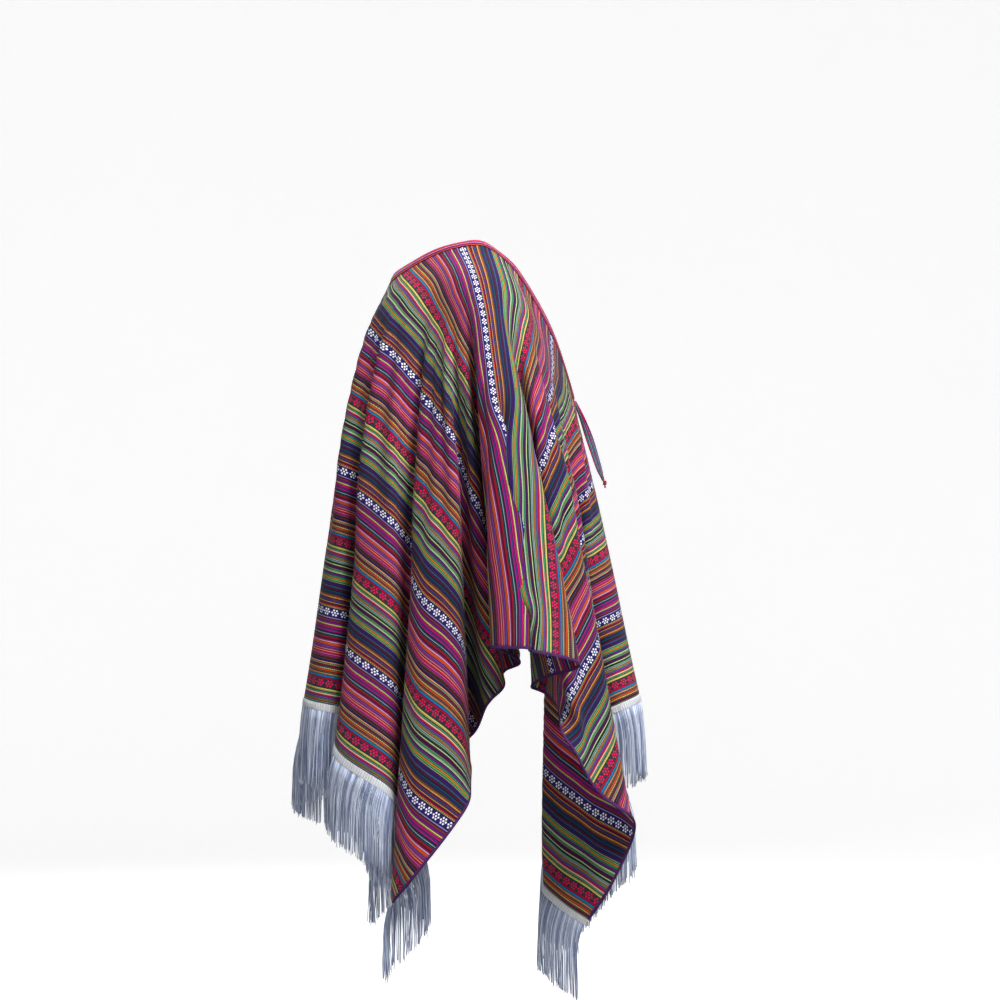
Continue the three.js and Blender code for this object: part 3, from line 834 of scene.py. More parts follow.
@dataclass
class EdgeRun:
    """A straight edge of the flat cut, walked from one end to the other."""

    surface: ClothSurface
    s: Array
    t: Array
    inward: tuple[float, float]
    side: Array

    @property
    def along(self) -> Array:
        """Return the distance walked at each place, in metres."""
        gaps = np.hypot(np.diff(self.s), np.diff(self.t))
        return np.concatenate([[0.0], np.cumsum(gaps)])

    def past(self) -> Array:
        """Return the unit direction in which the cloth would go on past its edge."""
        back = 8 * MM
        edge = self.surface.point(self.s, self.t, self.side)
        inside = self.surface.point(self.s + back * self.inward[0], self.t + back * self.inward[1], self.side)
        return unit(edge - inside)

    def spots(self, inside: Array, lift: Array) -> Array:
        """Return points beside the edge, several for each place walked.

        Args:
            inside: Distances in from the edge, in rows by place, or past the edge where negative.
            lift: Heights over the middle of the cloth, of the same shape.

        Returns:
            Points, one more axis than inside.
        """
        into = np.maximum(inside, 0.0)
        s = self.s[:, None] + into * self.inward[0]
        t = self.t[:, None] + into * self.inward[1]
        side = np.broadcast_to(self.side[:, None], s.shape)
        beyond = np.maximum(-inside, 0.0)[..., None] * self.past()[:, None]
        return self.surface.point(s, t, side, lift) + beyond

    @classmethod
    def of_side(cls, surface: ClothSurface, cut: FlatCut, side: float, step: float) -> "EdgeRun":
        """Walk one of the long edges, from the front hem to the back hem."""
        t = np.linspace(-cut.half_length, cut.half_length, round(2 * cut.half_length / step) + 1)
        return cls(surface, np.full_like(t, side * cut.half_width), t, (-side, 0.0), np.full_like(t, side))

    @classmethod
    def of_hem(cls, surface: ClothSurface, cut: FlatCut, end: float, step: float) -> "EdgeRun":
        """Walk a hem, from the wearer's right to the left. end is 1 for the back and -1 for the front."""
        s = np.linspace(-cut.half_width, cut.half_width, round(2 * cut.half_width / step) + 1)
        t, side = np.full_like(s, end * cut.half_length), np.where(s < 0, -1.0, 1.0)
        return cls(surface, s, t, (0.0, -end), side)

    @classmethod
    def of_slit(cls, surface: ClothSurface, cut: FlatCut, side: float, step: float) -> "EdgeRun":
        """Walk one edge of the neck slit, from its front end to its back end."""
        length = cut.slit_back - cut.slit_front
        t = np.linspace(cut.slit_front, cut.slit_back, round(length / step) + 1)
        return cls(surface, np.zeros_like(t), t, (side, 0.0), np.full_like(t, side))


# ---- Lofts and threads ----------------------------------------------------------------------------------


def ring_faces(count: int, around: int, first: int = 0) -> Array:
    """Return the quads between rings that follow one another.

    Args:
        count: Number of rings.
        around: Points in each ring.
        first: Number of the first vertex.

    Returns:
        Four vertex numbers for each face.
    """
    number = first + np.arange(count * around).reshape(count, around)
    nxt = np.roll(number, -1, axis=1)
    return np.stack([number[:-1], nxt[:-1], nxt[1:], number[1:]], axis=-1).reshape(-1, 4)


def loft(name: str, rings: Array, places: Array | None = None) -> bpy.types.Object:
    """Make a closed solid through rings of points, with both ends capped.

    Args:
        name: The piece's name.
        rings: Points, by ring and then round the ring.
        places: A UV place for each point, in metres.

    Returns:
        The object, with its faces turned outwards.
    """
    count, around = rings.shape[:2]
    made = mesh_object(name, rings.reshape(-1, 3), ring_faces(count, around))
    if places is not None:
        give_uv(made, places.reshape(-1, 2))
    bpy.ops.object.mode_set(mode="EDIT")
    bpy.ops.mesh.select_all(action="SELECT")
    bpy.ops.mesh.region_to_loop()
    bpy.ops.mesh.fill()
    turn_faces()
    bpy.ops.object.shade_smooth_by_angle(angle=math.radians(50))
    return made


def strip(name: str, run: EdgeRun, section: Array, across: Array) -> bpy.types.Object:
    """Loft one section all along an edge.

    Args:
        name: The piece's name.
        run: The edge.
        section: Distance in from the edge and height over the cloth's middle, for each point round it.
        across: The U place of each point round it.

    Returns:
        The closed strip.
    """
    shape = (len(run.s), len(section))
    inside, lift = (np.broadcast_to(column, shape) for column in section.T)
    places = np.stack(np.broadcast_arrays(across[None], run.along[:, None]), axis=-1)
    return loft(name, run.spots(inside, lift), places)


def threads(name: str, paths: Array, radius: Array | float, upright: Array) -> bpy.types.Object:
    """Make many threads of the same number of points as one joined mesh.

    Args:
        name: The piece's name.
        paths: Points, by thread and then along it.
        radius: Half the thickness, one for all or by thread and point.
        upright: A direction that no thread is parallel to, one for all or by thread and point.

    Returns:
        The object, with U the thread's number and the share round it, and V along it in metres.
    """
    count, steps = paths.shape[:2]
    sides = THREAD_SIDES
    half = np.broadcast_to(radius, (count, steps))
    tangent = unit(np.gradient(paths, axis=1))
    first = unit(np.cross(tangent, upright))
    second = np.cross(tangent, first)
    angle = np.linspace(0, 2 * math.pi, sides, endpoint=False)
    round_it = np.cos(angle)[:, None] * first[:, :, None] + np.sin(angle)[:, None] * second[:, :, None]
    points = paths[:, :, None] + half[:, :, None, None] * round_it
    block = steps * sides
    faces = ring_faces(steps, sides)[None] + block * np.arange(count)[:, None, None]
    caps = np.arange(sides)
    ends = np.stack([caps[::-1], caps + block - sides])[None] + block * np.arange(count)[:, None, None]
    all_faces = np.concatenate([faces.reshape(-1, 4), ends.reshape(-1, 4)])
    made = mesh_object(name, points.reshape(-1, 3), all_faces)
    gaps = np.linalg.norm(np.diff(paths, axis=1), axis=2)
    run = np.concatenate([np.zeros((count, 1)), np.cumsum(gaps, axis=1)], axis=1)
    across = np.broadcast_to(angle / (2 * math.pi), (count, steps, sides)) + np.arange(count)[:, None, None]
    place = np.stack([across, np.broadcast_to(run[:, :, None], across.shape)], axis=-1)
    give_uv(made, place.reshape(-1, 2))
    made.data.polygons.foreach_set("use_smooth", np.ones(len(made.data.polygons), dtype=bool))
    bpy.ops.object.mode_set(mode="EDIT")
    turn_faces()
    return made


def join(name: str, parts: Sequence[bpy.types.Object]) -> bpy.types.Object:
    """Join objects into one, and name it."""
    deselect_all()
    for part in parts:
        part.select_set(True)
    bpy.context.view_layer.objects.active = parts[0]
    bpy.ops.object.join()
    parts[0].name = name
    parts[0].data.name = name
    return parts[0]


def wrapped(run: EdgeRun, centre: float, reach: float, height: float, pitch: float, points: int,
            hand: float = 1.0) -> Array:
    """Wind a thread round an edge, as an overlock stitch or a braid's filling goes.

    Args:
        run: The edge.
        centre: Distance of the winding's middle in from the edge.
        reach: Half its width.
        height: Half its thickness.
        pitch: Distance between turns.
        points: Points in each turn.
        hand: 1 or -1, the way that it turns.

    Returns:
        The thread's points, in order.
    """
    length = run.along[-1]
    turns = int(length / pitch)
    angle = np.linspace(0.0, 2 * math.pi * turns, turns * points + 1)
    along = angle / (2 * math.pi) * pitch + (length - turns * pitch) / 2
    wave, flat = np.cos(angle), np.sin(angle)
    inside = centre + reach * wave
    lift = hand * height * np.sign(flat) * np.sqrt(np.abs(flat))
    s, t, side = (np.interp(along, run.along, v) for v in (run.s, run.t, run.side))
    walked = EdgeRun(run.surface, s, t, run.inward, np.where(side < 0, -1.0, 1.0))
    return walked.spots(inside[:, None], lift[:, None])[:, 0]


# ---- Yarns and the striping -------------------------------------------------------------------------------


class Yarn(Enum):
    """The dyed yarns of the cloth and its trims, as sRGB shares, with painted shade copies of the rayon and
    the cream.
    """

    NAVY = (0.15, 0.11, 0.35)
    NIGHT = (0.11, 0.11, 0.27)
    INDIGO = (0.20, 0.16, 0.42)
    BLUE = (0.19, 0.30, 0.57)
    BRIGHT_BLUE = (0.09, 0.46, 0.70)
    VIOLET = (0.43, 0.30, 0.60)
    LILAC = (0.55, 0.52, 0.72)
    PURPLE = (0.42, 0.16, 0.48)
    DARK_PURPLE = (0.22, 0.10, 0.30)
    MAGENTA = (0.70, 0.22, 0.50)
    PLUM = (0.70, 0.20, 0.45)
    DARK_PLUM = (0.33, 0.10, 0.24)
    MAUVE = (0.86, 0.45, 0.68)
    PALE_MAUVE = (0.80, 0.62, 0.76)
    MAROON = (0.36, 0.09, 0.18)
    DARK_RED = (0.46, 0.09, 0.16)
    CRIMSON = (0.76, 0.18, 0.31)
    RED = (0.77, 0.18, 0.22)
    CORAL = (0.74, 0.15, 0.25)
    SALMON = (0.93, 0.52, 0.42)
    ORANGE_RED = (0.83, 0.36, 0.22)
    RUST = (0.66, 0.29, 0.21)
    ORANGE = (0.86, 0.48, 0.26)
    PEACH = (0.88, 0.62, 0.45)
    BLUSH = (0.86, 0.66, 0.60)
    TAN = (0.64, 0.49, 0.33)
    GOLD = (0.79, 0.58, 0.29)
    STRAW = (0.78, 0.76, 0.43)
    LIME = (0.58, 0.70, 0.33)
    PALE_GREEN = (0.70, 0.78, 0.58)
    LIGHT_GREEN = (0.43, 0.68, 0.37)
    MINT = (0.45, 0.60, 0.47)
    GREEN = (0.22, 0.56, 0.38)
    DARK_TEAL = (0.12, 0.28, 0.36)
    TEAL = (0.21, 0.43, 0.43)
    AQUA = (0.30, 0.54, 0.55)
    ICE = (0.59, 0.67, 0.70)
    SLATE = (0.24, 0.35, 0.46)
    KHAKI = (0.61, 0.60, 0.40)
    OLIVE = (0.37, 0.31, 0.23)
    DARK_OLIVE = (0.25, 0.18, 0.11)
    BROWN_RED = (0.49, 0.28, 0.24)
    BROWN_GREY = (0.30, 0.21, 0.24)
    BLACK_GREEN = (0.09, 0.15, 0.14)
    CHARCOAL = (0.15, 0.18, 0.20)
    HOT_PINK = (0.84, 0.13, 0.33)
    WHITE = (0.90, 0.90, 0.94)
    SPECK_VIOLET = (0.29, 0.23, 0.47)
    SPECK_ROSE = (0.34, 0.15, 0.22)
    TAPE_PINK = (0.92, 0.70, 0.80)
    THREAD_PURPLE = (0.36, 0.14, 0.40)
    THREAD_RED = (0.66, 0.12, 0.20)
    RAYON = (0.86, 0.89, 0.95)
    # The rayon in painted shade.
    RAYON_SHADE = (0.45, 0.51, 0.66)
    CREAM = (0.95, 0.95, 0.94)
    # The cream in painted shade.
    CREAM_SHADE = (0.74, 0.75, 0.78)

    @property
    def linear(self) -> Colour:
        """Return the colour as the shaders read it."""
        return self.shaded(1.0)

    def shaded(self, share: float) -> Colour:
        """Return the colour at a share of its light."""
        light = [share * (v / 12.92 if v <= 0.04045 else ((v + 0.055) / 1.055) ** 2.4) for v in self.value]
        return (light[0], light[1], light[2], 1.0)


@dataclass(frozen=True)
class Stripe:
    """One stripe of the repeat: its width in millimetres, its yarn and any second yarn flecked into it."""

    width: float
    yarn: Yarn
    fleck: Yarn | None = None


BAND_HALF = 6.3

# Where each stripe starts across the neck's tape, from the slit's edge outwards, and across the tie's.
NECK_TAPE_STRIPES = ((0.0, Yarn.MAROON), (0.10, Yarn.CRIMSON), (0.24, Yarn.MAROON), (0.40, Yarn.TAPE_PINK),
                     (0.46, Yarn.PURPLE), (0.62, Yarn.MAROON), (0.84, Yarn.ORANGE_RED), (0.92, Yarn.MAROON))
TIE_TAPE_STRIPES = ((0.0, Yarn.CORAL), (0.2, Yarn.DARK_PURPLE), (0.3, Yarn.TEAL), (0.48, Yarn.BLACK_GREEN),
                    (0.6, Yarn.ICE), (0.68, Yarn.INDIGO), (0.84, Yarn.DARK_PLUM), (0.92, Yarn.CRIMSON))

# From the middle of a white-flowered band to the middle of the next pink-flowered one.
TO_PINK_BAND = (
    Stripe(BAND_HALF, Yarn.NAVY),
    Stripe(2.3, Yarn.LILAC),
    Stripe(1.5, Yarn.INDIGO),
    Stripe(2.3, Yarn.RUST),
    Stripe(3.9, Yarn.PURPLE),
    Stripe(2.7, Yarn.STRAW),
    Stripe(3.7, Yarn.PLUM),
    Stripe(0.8, Yarn.DARK_PLUM),
    Stripe(1.9, Yarn.BLUE),
    Stripe(2.1, Yarn.MAGENTA),
    Stripe(1.5, Yarn.NIGHT),
    Stripe(1.5, Yarn.TEAL),
    Stripe(1.5, Yarn.ICE),
    Stripe(1.3, Yarn.NIGHT),
    Stripe(1.7, Yarn.TEAL),
    Stripe(2.7, Yarn.RED),
    Stripe(1.9, Yarn.MAROON),
    Stripe(1.6, Yarn.PLUM),
    Stripe(2.1, Yarn.PALE_MAUVE),
    Stripe(4.1, Yarn.ORANGE_RED),
    Stripe(2.9, Yarn.VIOLET),
    Stripe(1.7, Yarn.PLUM),
    Stripe(1.9, Yarn.PALE_MAUVE),
    Stripe(1.3, Yarn.RED),
    Stripe(2.1, Yarn.SALMON),
    Stripe(1.7, Yarn.CRIMSON),
    Stripe(1.9, Yarn.MAUVE),
    Stripe(2.5, Yarn.MAGENTA),
    Stripe(1.5, Yarn.TAN),
    Stripe(1.0, Yarn.DARK_OLIVE),
    Stripe(1.9, Yarn.DARK_RED),
    Stripe(1.1, Yarn.TEAL),
    Stripe(2.3, Yarn.NAVY),
    Stripe(2.2, Yarn.PEACH),
    Stripe(2.2, Yarn.MINT, Yarn.OLIVE),
    Stripe(2.1, Yarn.DARK_RED),
    Stripe(2.4, Yarn.BROWN_GREY),
    Stripe(2.7, Yarn.TAN, Yarn.STRAW),
    Stripe(2.6, Yarn.ORANGE_RED),
    Stripe(2.4, Yarn.OLIVE),
    Stripe(2.4, Yarn.PEACH),
    Stripe(0.7, Yarn.TEAL),
    Stripe(3.7, Yarn.BRIGHT_BLUE),
    Stripe(2.7, Yarn.CORAL),
    Stripe(BAND_HALF, Yarn.CHARCOAL),
)

# From the middle of the pink-flowered band on to the middle of the next white-flowered one.
TO_WHITE_BAND = (
    Stripe(BAND_HALF, Yarn.CHARCOAL),
    Stripe(3.5, Yarn.STRAW),
    Stripe(0.8, Yarn.CRIMSON),
    Stripe(2.5, Yarn.GREEN),
    Stripe(3.0, Yarn.BLUSH),
    Stripe(2.0, Yarn.CORAL),
    Stripe(3.2, Yarn.VIOLET),
    Stripe(2.0, Yarn.LIGHT_GREEN),
    Stripe(2.0, Yarn.ORANGE),
    Stripe(2.0, Yarn.ICE),
    Stripe(2.8, Yarn.MINT),
    Stripe(2.0, Yarn.BLACK_GREEN),
    Stripe(2.0, Yarn.PALE_GREEN),
    Stripe(1.7, Yarn.MAROON),
    Stripe(2.5, Yarn.DARK_PURPLE),
    Stripe(0.8, Yarn.BROWN_RED),
    Stripe(2.7, Yarn.GREEN),
    Stripe(3.0, Yarn.PALE_GREEN),
    Stripe(1.0, Yarn.AQUA),
    Stripe(3.0, Yarn.PURPLE),
    Stripe(3.0, Yarn.GREEN),
    Stripe(2.3, Yarn.ORANGE),
    Stripe(0.7, Yarn.LIME),
    Stripe(2.3, Yarn.GREEN),
    Stripe(1.7, Yarn.KHAKI),
    Stripe(2.5, Yarn.INDIGO),
    Stripe(3.0, Yarn.DARK_PURPLE),
    Stripe(2.5, Yarn.SLATE),
    Stripe(1.0, Yarn.PURPLE),
    Stripe(2.0, Yarn.MAROON),
    Stripe(1.3, Yarn.BLACK_GREEN),
    Stripe(2.7, Yarn.DARK_TEAL),
    Stripe(2.0, Yarn.INDIGO),
    Stripe(0.8, Yarn.TEAL),
    Stripe(2.2, Yarn.BROWN_RED),
    Stripe(2.8, Yarn.GOLD),
    Stripe(1.7, Yarn.INDIGO),
    Stripe(0.8, Yarn.RUST),
    Stripe(0.9, Yarn.STRAW),
    Stripe(1.8, Yarn.BLUE),
    Stripe(0.6, Yarn.MAROON),
    Stripe(2.0, Yarn.GOLD),
    Stripe(2.4, Yarn.DARK_PLUM),
    Stripe(0.8, Yarn.RED),
    Stripe(0.8, Yarn.ORANGE),
    Stripe(3.0, Yarn.KHAKI, Yarn.DARK_OLIVE),
    Stripe(BAND_HALF, Yarn.NAVY),
)


# ---- Shader building ------------------------------------------------------------------------------------


@dataclass
class Board:
    """A node tree being filled, with short ways to add its usual nodes."""

    tree: bpy.types.NodeTree

    def node(self, kind: str, **settings: object) -> bpy.types.Node:
        """Add a node and set its properties."""
        made = self.tree.nodes.new(kind)
        for name, value in settings.items():
            setattr(made, name, value)
        return made

    def feed(self, socket: Socket, value: "Socket | float | Sequence[float]") -> None:
        """Link a value into a socket, or set it there."""
        if isinstance(value, bpy.types.NodeSocket):
            self.tree.links.new(value, socket)
        else:
            socket.default_value = value

    def math(self, operation: str, *values: "Socket | float") -> Socket:
        """Add a Math node and return its result."""
        made = self.node("ShaderNodeMath", operation=operation)
        for socket, value in zip(made.inputs, values):
            self.feed(socket, value)
        return made.outputs[0]

    def product(self, *values: Socket) -> Socket:
        """Multiply several values."""
        found = values[0]
        for value in values[1:]:
            found = self.math("MULTIPLY", found, value)
        return found

    def mix(self, share: "Socket | float", first: "Socket | Sequence", second: "Socket | Sequence",
            blend: str = "MIX") -> Socket:
        """Mix two colours and return the result."""
        made = self.node("ShaderNodeMix", data_type="RGBA", blend_type=blend)
        self.feed(made.inputs[0], share)
        self.feed(made.inputs[6], first)
        self.feed(made.inputs[7], second)
        return made.outputs[2]

    def noise(self, place: Socket, scale: float, detail: float = 2.0) -> Socket:
        """Add a noise texture and return its value."""
        made = self.node("ShaderNodeTexNoise")
        self.feed(made.inputs["Vector"], place)
        self.feed(made.inputs["Scale"], scale)
        self.feed(made.inputs["Detail"], detail)
        return made.outputs["Fac"]

    def stretched(self, place: Socket, scale: Sequence[float]) -> Socket:
        """Scale a place differently along each of its axes."""
        made = self.node("ShaderNodeMapping")
        self.feed(made.inputs["Vector"], place)
        self.feed(made.inputs["Scale"], scale)
        return made.outputs["Vector"]

    def bump(self, height: Socket, strength: float, distance: float) -> Socket:
        """Turn a height into a normal."""
        made = self.node("ShaderNodeBump")
        self.feed(made.inputs["Height"], height)
        self.feed(made.inputs["Strength"], strength)
        self.feed(made.inputs["Distance"], distance)
        return made.outputs["Normal"]

    def ramp(self, share: Socket, stops: Sequence[tuple[float, Colour]], smooth: bool = False) -> Socket:
        """Add a colour ramp, stepped unless smooth, and return its colour."""
        made = self.node("ShaderNodeValToRGB")
        made.color_ramp.interpolation = "LINEAR" if smooth else "CONSTANT"
        elements = made.color_ramp.elements
        elements.remove(elements[1])
        elements[0].position = stops[0][0]
        elements[0].color = stops[0][1]
        for place, colour in stops[1:]:
            elements.new(place).color = colour
        self.feed(made.inputs[0], share)
        return made.outputs[0]

    def ribs(self, place: Socket, pitch: float) -> Socket:
        """Return the height of round ribs, one for each pitch."""
        return self.math("ABSOLUTE", self.math("SINE", self.math("MULTIPLY", place, math.pi / pitch)))

    def grey(self, tone: Socket) -> Socket:
        """Turn a tone into a grey."""
        made = self.node("ShaderNodeCombineColor")
        for socket in made.inputs:
            self.feed(socket, tone)
        return made.outputs[0]

    def uv(self) -> tuple[Socket, Socket, Socket]:
        """Return the piece's own UV place, and its two numbers."""
        place = self.node("ShaderNodeUVMap", uv_map="cut").outputs[0]
        split = self.node("ShaderNodeSeparateXYZ")
        self.feed(split.inputs[0], place)
        return place, split.outputs[0], split.outputs[1]


def new_group(name: str, inputs: Sequence[tuple[str, str]], outputs: Sequence[tuple[str, str]]) -> Board:
    """Start a shader node group with named sockets.

    Args:
        name: The group's name.
        inputs: Name and kind (Float, Vector or Color) of each input.
        outputs: Name and kind of each output.

    Returns:
        A board on the group's tree, with its input and output nodes in it.
    """
    tree = bpy.data.node_groups.new(name, "ShaderNodeTree")
    for way, sockets in (("INPUT", inputs), ("OUTPUT", outputs)):
        for label, kind in sockets:
            tree.interface.new_socket(label, in_out=way, socket_type=f"NodeSocket{kind}")
    board = Board(tree)
    board.node("NodeGroupInput")
    board.node("NodeGroupOutput")
    return board


def placed_group(board: Board, group: bpy.types.NodeTree, **values: "Socket | float") -> bpy.types.Node:
    """Put a group in a tree, with its inputs fed by name."""
    made = board.node("ShaderNodeGroup", node_tree=group)
    for name, value in values.items():
        board.feed(made.inputs[name], value)
    return made


@dataclass(frozen=True)
class Striping:
    """The woven repeat: its stripes, the flowers of its two bands, and lines of painted shade at the stripes'
    edges and between the ribs.
    """

    repeat: float = 206 * MM
    stops_each: int = 31
    # Width in millimetres and share of light of the line of painted shade at each stripe's start.
    edge_shade_width: float = 0.8
    edge_shade_light: float = 0.12
    # Pitch in millimetres, share of each pitch and strength of the thin lines of painted shade between the
    # ribs.
    rib_shade_pitch: float = 2.29
    rib_shade_share: float = 0.30
    rib_shade_strength: float = 0.85
    flower_pitch: float = 13.8
    dot_step: tuple[float, float] = (2.2, 3.4)
    dot_size: tuple[float, float] = (1.4, 1.35)
    speck_gap: float = 2.6
    speck_share: float = 0.36
    fleck_length: float = 3.1
    fleck_share: float = 0.45

    def edges(self) -> list[tuple[float, Stripe]]:
        """Return where each stripe starts, as a share of the repeat."""
        stripes = [*TO_PINK_BAND, *TO_WHITE_BAND]
        whole = sum(stripe.width for stripe in stripes)
        starts, at = [], 0.0
        for stripe in stripes:
            starts.append((at / whole, stripe))
            at += stripe.width
        return starts

    def group(self) -> bpy.types.NodeTree:
        """Make the node group that gives the stripes' colour at a place of the cut."""
        board = new_group("poncho_striping", [("Across", "Float"), ("Along", "Float")],
                          [("Colour", "Color"), ("Flower", "Float")])
        source, result = board.tree.nodes["Group Input"], board.tree.nodes["Group Output"]
        across, along = source.outputs[0], source.outputs[1]
        share = board.math("FRACT", board.math("DIVIDE", along, self.repeat))
        colour = self._stripes(board, share)
        colour = self._flecks(board, share, across, colour)
        # Thin lines of painted shade between the ribs.
        colour = self._rib_shade_lines(board, share, colour)
        from_white = board.math("SUBTRACT", board.math("FRACT", board.math("ADD", share, 0.5)), 0.5)
        from_pink = board.math("SUBTRACT", share, 0.5)
        white = self._flowers(board, across, from_white)
        pink = self._flowers(board, across, from_pink)
        colour = board.mix(self._specks(board, across, from_white), colour, Yarn.SPECK_VIOLET.linear)
        colour = board.mix(self._specks(board, across, from_pink), colour, Yarn.SPECK_ROSE.linear)
        colour = board.mix(white, colour, Yarn.WHITE.linear)
        colour = board.mix(pink, colour, Yarn.HOT_PINK.linear)
        board.feed(result.inputs[0], colour)
        board.feed(result.inputs[1], board.math("MAXIMUM", white, pink))
        return board.tree

    def _stops_with_edge_shade(self) -> list[tuple[float, Colour]]:
        """Return each stripe's start and colour, with a thin line of painted shade, the stripe's own yarn at
        a small share of its light, where two different yarns meet.
        """
        stops: list[tuple[float, Colour]] = []
        line = self.edge_shade_width * MM / self.repeat
        before = Yarn.NAVY
        for start, stripe in self.edges():
            if stripe.yarn is before:
                stops.append((start, stripe.yarn.linear))
            else:
                # Painted shade: the yarn at a small share of its light, in a thin line where the stripe
                # starts.
                stops.append((start, stripe.yarn.shaded(self.edge_shade_light)))
                stops.append((start + line, stripe.yarn.linear))
            before = stripe.yarn
        return stops

    def _stripes(self, board: Board, share: Socket) -> Socket:
        """Lay the stripes on as few ramps as hold them, one taking over from another."""
        stops = self._stops_with_edge_shade()
        runs = [stops[i : i + self.stops_each] for i in range(0, len(stops), self.stops_each)]
        colour: Socket | None = None
        for number, run in enumerate(runs):
            low = run[0][0]
            high = runs[number + 1][0][0] if number + 1 < len(runs) else 1.0
            local = board.math("DIVIDE", board.math("SUBTRACT", share, low), high - low)
            laid = board.ramp(local, [((start - low) / (high - low), tone) for start, tone in run])
            past = board.math("GREATER_THAN", share, low)
            colour = laid if colour is None else board.mix(past, colour, laid)
        return colour

    def _flecks(self, board: Board, share: Socket, across: Socket, colour: Socket) -> Socket:
        """Fleck some stripes with a second yarn, a float at a time."""
        edges = self.edges()
        turn = board.math("FRACT", board.math("DIVIDE", across, self.fleck_length * MM))
        dashes = board.math("LESS_THAN", turn, self.fleck_share)
        for (start, stripe), (stop, _) in zip(edges, edges[1:]):
            if stripe.fleck is None:
                continue
            margin = (stop - start) / 4
            inside = board.product(board.math("GREATER_THAN", share, start + margin),
                                   board.math("LESS_THAN", share, stop - margin), dashes)
            colour = board.mix(inside, colour, stripe.fleck.linear)
        return colour

    def _rib_shade_lines(self, board: Board, share: Socket, colour: Socket) -> Socket:
        """Paint thin lines of shade at an even pitch, the dark NIGHT yarn at half its light, for the shadows
        between the ribs.
        """
        count = round(self.repeat / MM / self.rib_shade_pitch)
        turn = board.math("FRACT", board.math("MULTIPLY", share, count))
        in_rib_shade = board.math("LESS_THAN", turn, self.rib_shade_share)
        # Painted shade between the ribs, mixed over the stripes' colour.
        return board.mix(board.math("MULTIPLY", in_rib_shade, self.rib_shade_strength), colour, Yarn.NIGHT.shaded(0.5))

    def _specks(self, board: Board, across: Socket, away: Socket) -> Socket:
        """Return 1 on the small floats of second yarn between a band's flowers.

        Args:
            board: The group being filled.
            across: Place across the cut, in metres.
            away: Distance from the band's middle, as a share of the repeat.

        Returns:
            The mask's socket.
        """
        x = board.math("DIVIDE", across, self.speck_gap * MM)
        y = board.math("MULTIPLY", away, self.repeat / MM / self.speck_gap)
        inside = board.math("LESS_THAN", board.math("ABSOLUTE", y), (BAND_HALF - 0.9) / self.speck_gap)
        turned = (board.math("ADD", x, y), board.math("SUBTRACT", x, y))
        floats = [board.math("LESS_THAN", board.math("FRACT", value), self.speck_share) for value in turned]
        return board.product(inside, *floats)

    def _flowers(self, board: Board, across: Socket, away: Socket) -> Socket:
        """Return 1 on the seven dots of each flower of a band, in staggered rows of two, three and two.

        Args:
            board: The group being filled.
            across: Place across the cut, in metres.
            away: Distance from the band's middle, as a share of the repeat.

        Returns:
            The mask's socket.
        """
        (step_x, step_y), (size_x, size_y) = self.dot_step, self.dot_size
        turn = board.math("FRACT", board.math("DIVIDE", across, self.flower_pitch * MM))
        x = board.math("MULTIPLY", board.math("SUBTRACT", turn, 0.5), self.flower_pitch / step_x)
        y = board.math("MULTIPLY", away, self.repeat / MM / step_y)
        p = board.math("ROUND", board.math("MULTIPLY", board.math("ADD", y, x), 0.5))
        q = board.math("ROUND", board.math("MULTIPLY", board.math("SUBTRACT", y, x), 0.5))
        dot_x, dot_y = board.math("SUBTRACT", p, q), board.math("ADD", p, q)
        near = [board.math("LESS_THAN", board.math("ABSOLUTE", dot_x), 2.5),
                board.math("LESS_THAN", board.math("ABSOLUTE", dot_y), 1.5)]
        off_x = board.math("MULTIPLY", board.math("SUBTRACT", x, dot_x), step_x / size_x)
        off_y = board.math("MULTIPLY", board.math("SUBTRACT", y, dot_y), step_y / size_y)
        square_x, square_y = (board.math("MULTIPLY", off, off) for off in (off_x, off_y))
        squared = board.math("ADD", square_x, square_y)
        return board.product(*near, board.math("LESS_THAN", squared, 1.0))


def weave_group() -> bpy.types.NodeTree:
    """Make the node group of the plain weave: the threads' height, and their unevenness in tone."""
    board = new_group("poncho_weave", [("Place", "Vector"), ("Across", "Float"), ("Along", "Float")],
                      [("Height", "Float"), ("Tone", "Float")])
    source, result = board.tree.nodes["Group Input"], board.tree.nodes["Group Output"]
    place, across, along = source.outputs[:3]
    ribs = board.ribs(along, 1.15 * MM)
    picks = board.ribs(across, 1.5 * MM)
    height = board.math("ADD", ribs, board.math("MULTIPLY", picks, 0.55))
    slubs = board.noise(board.stretched(place, (130.0, 900.0, 1.0)), 1.0, 3.0)
    broad = board.noise(place, 14.0, 2.0)
    tone = board.math("ADD", board.math("MULTIPLY", slubs, 0.7), board.math("MULTIPLY", broad, 0.3))
    board.feed(result.inputs[0], board.math("ADD", height, board.math("MULTIPLY", slubs, 0.5)))
    board.feed(result.inputs[1], tone)
    return board.tree


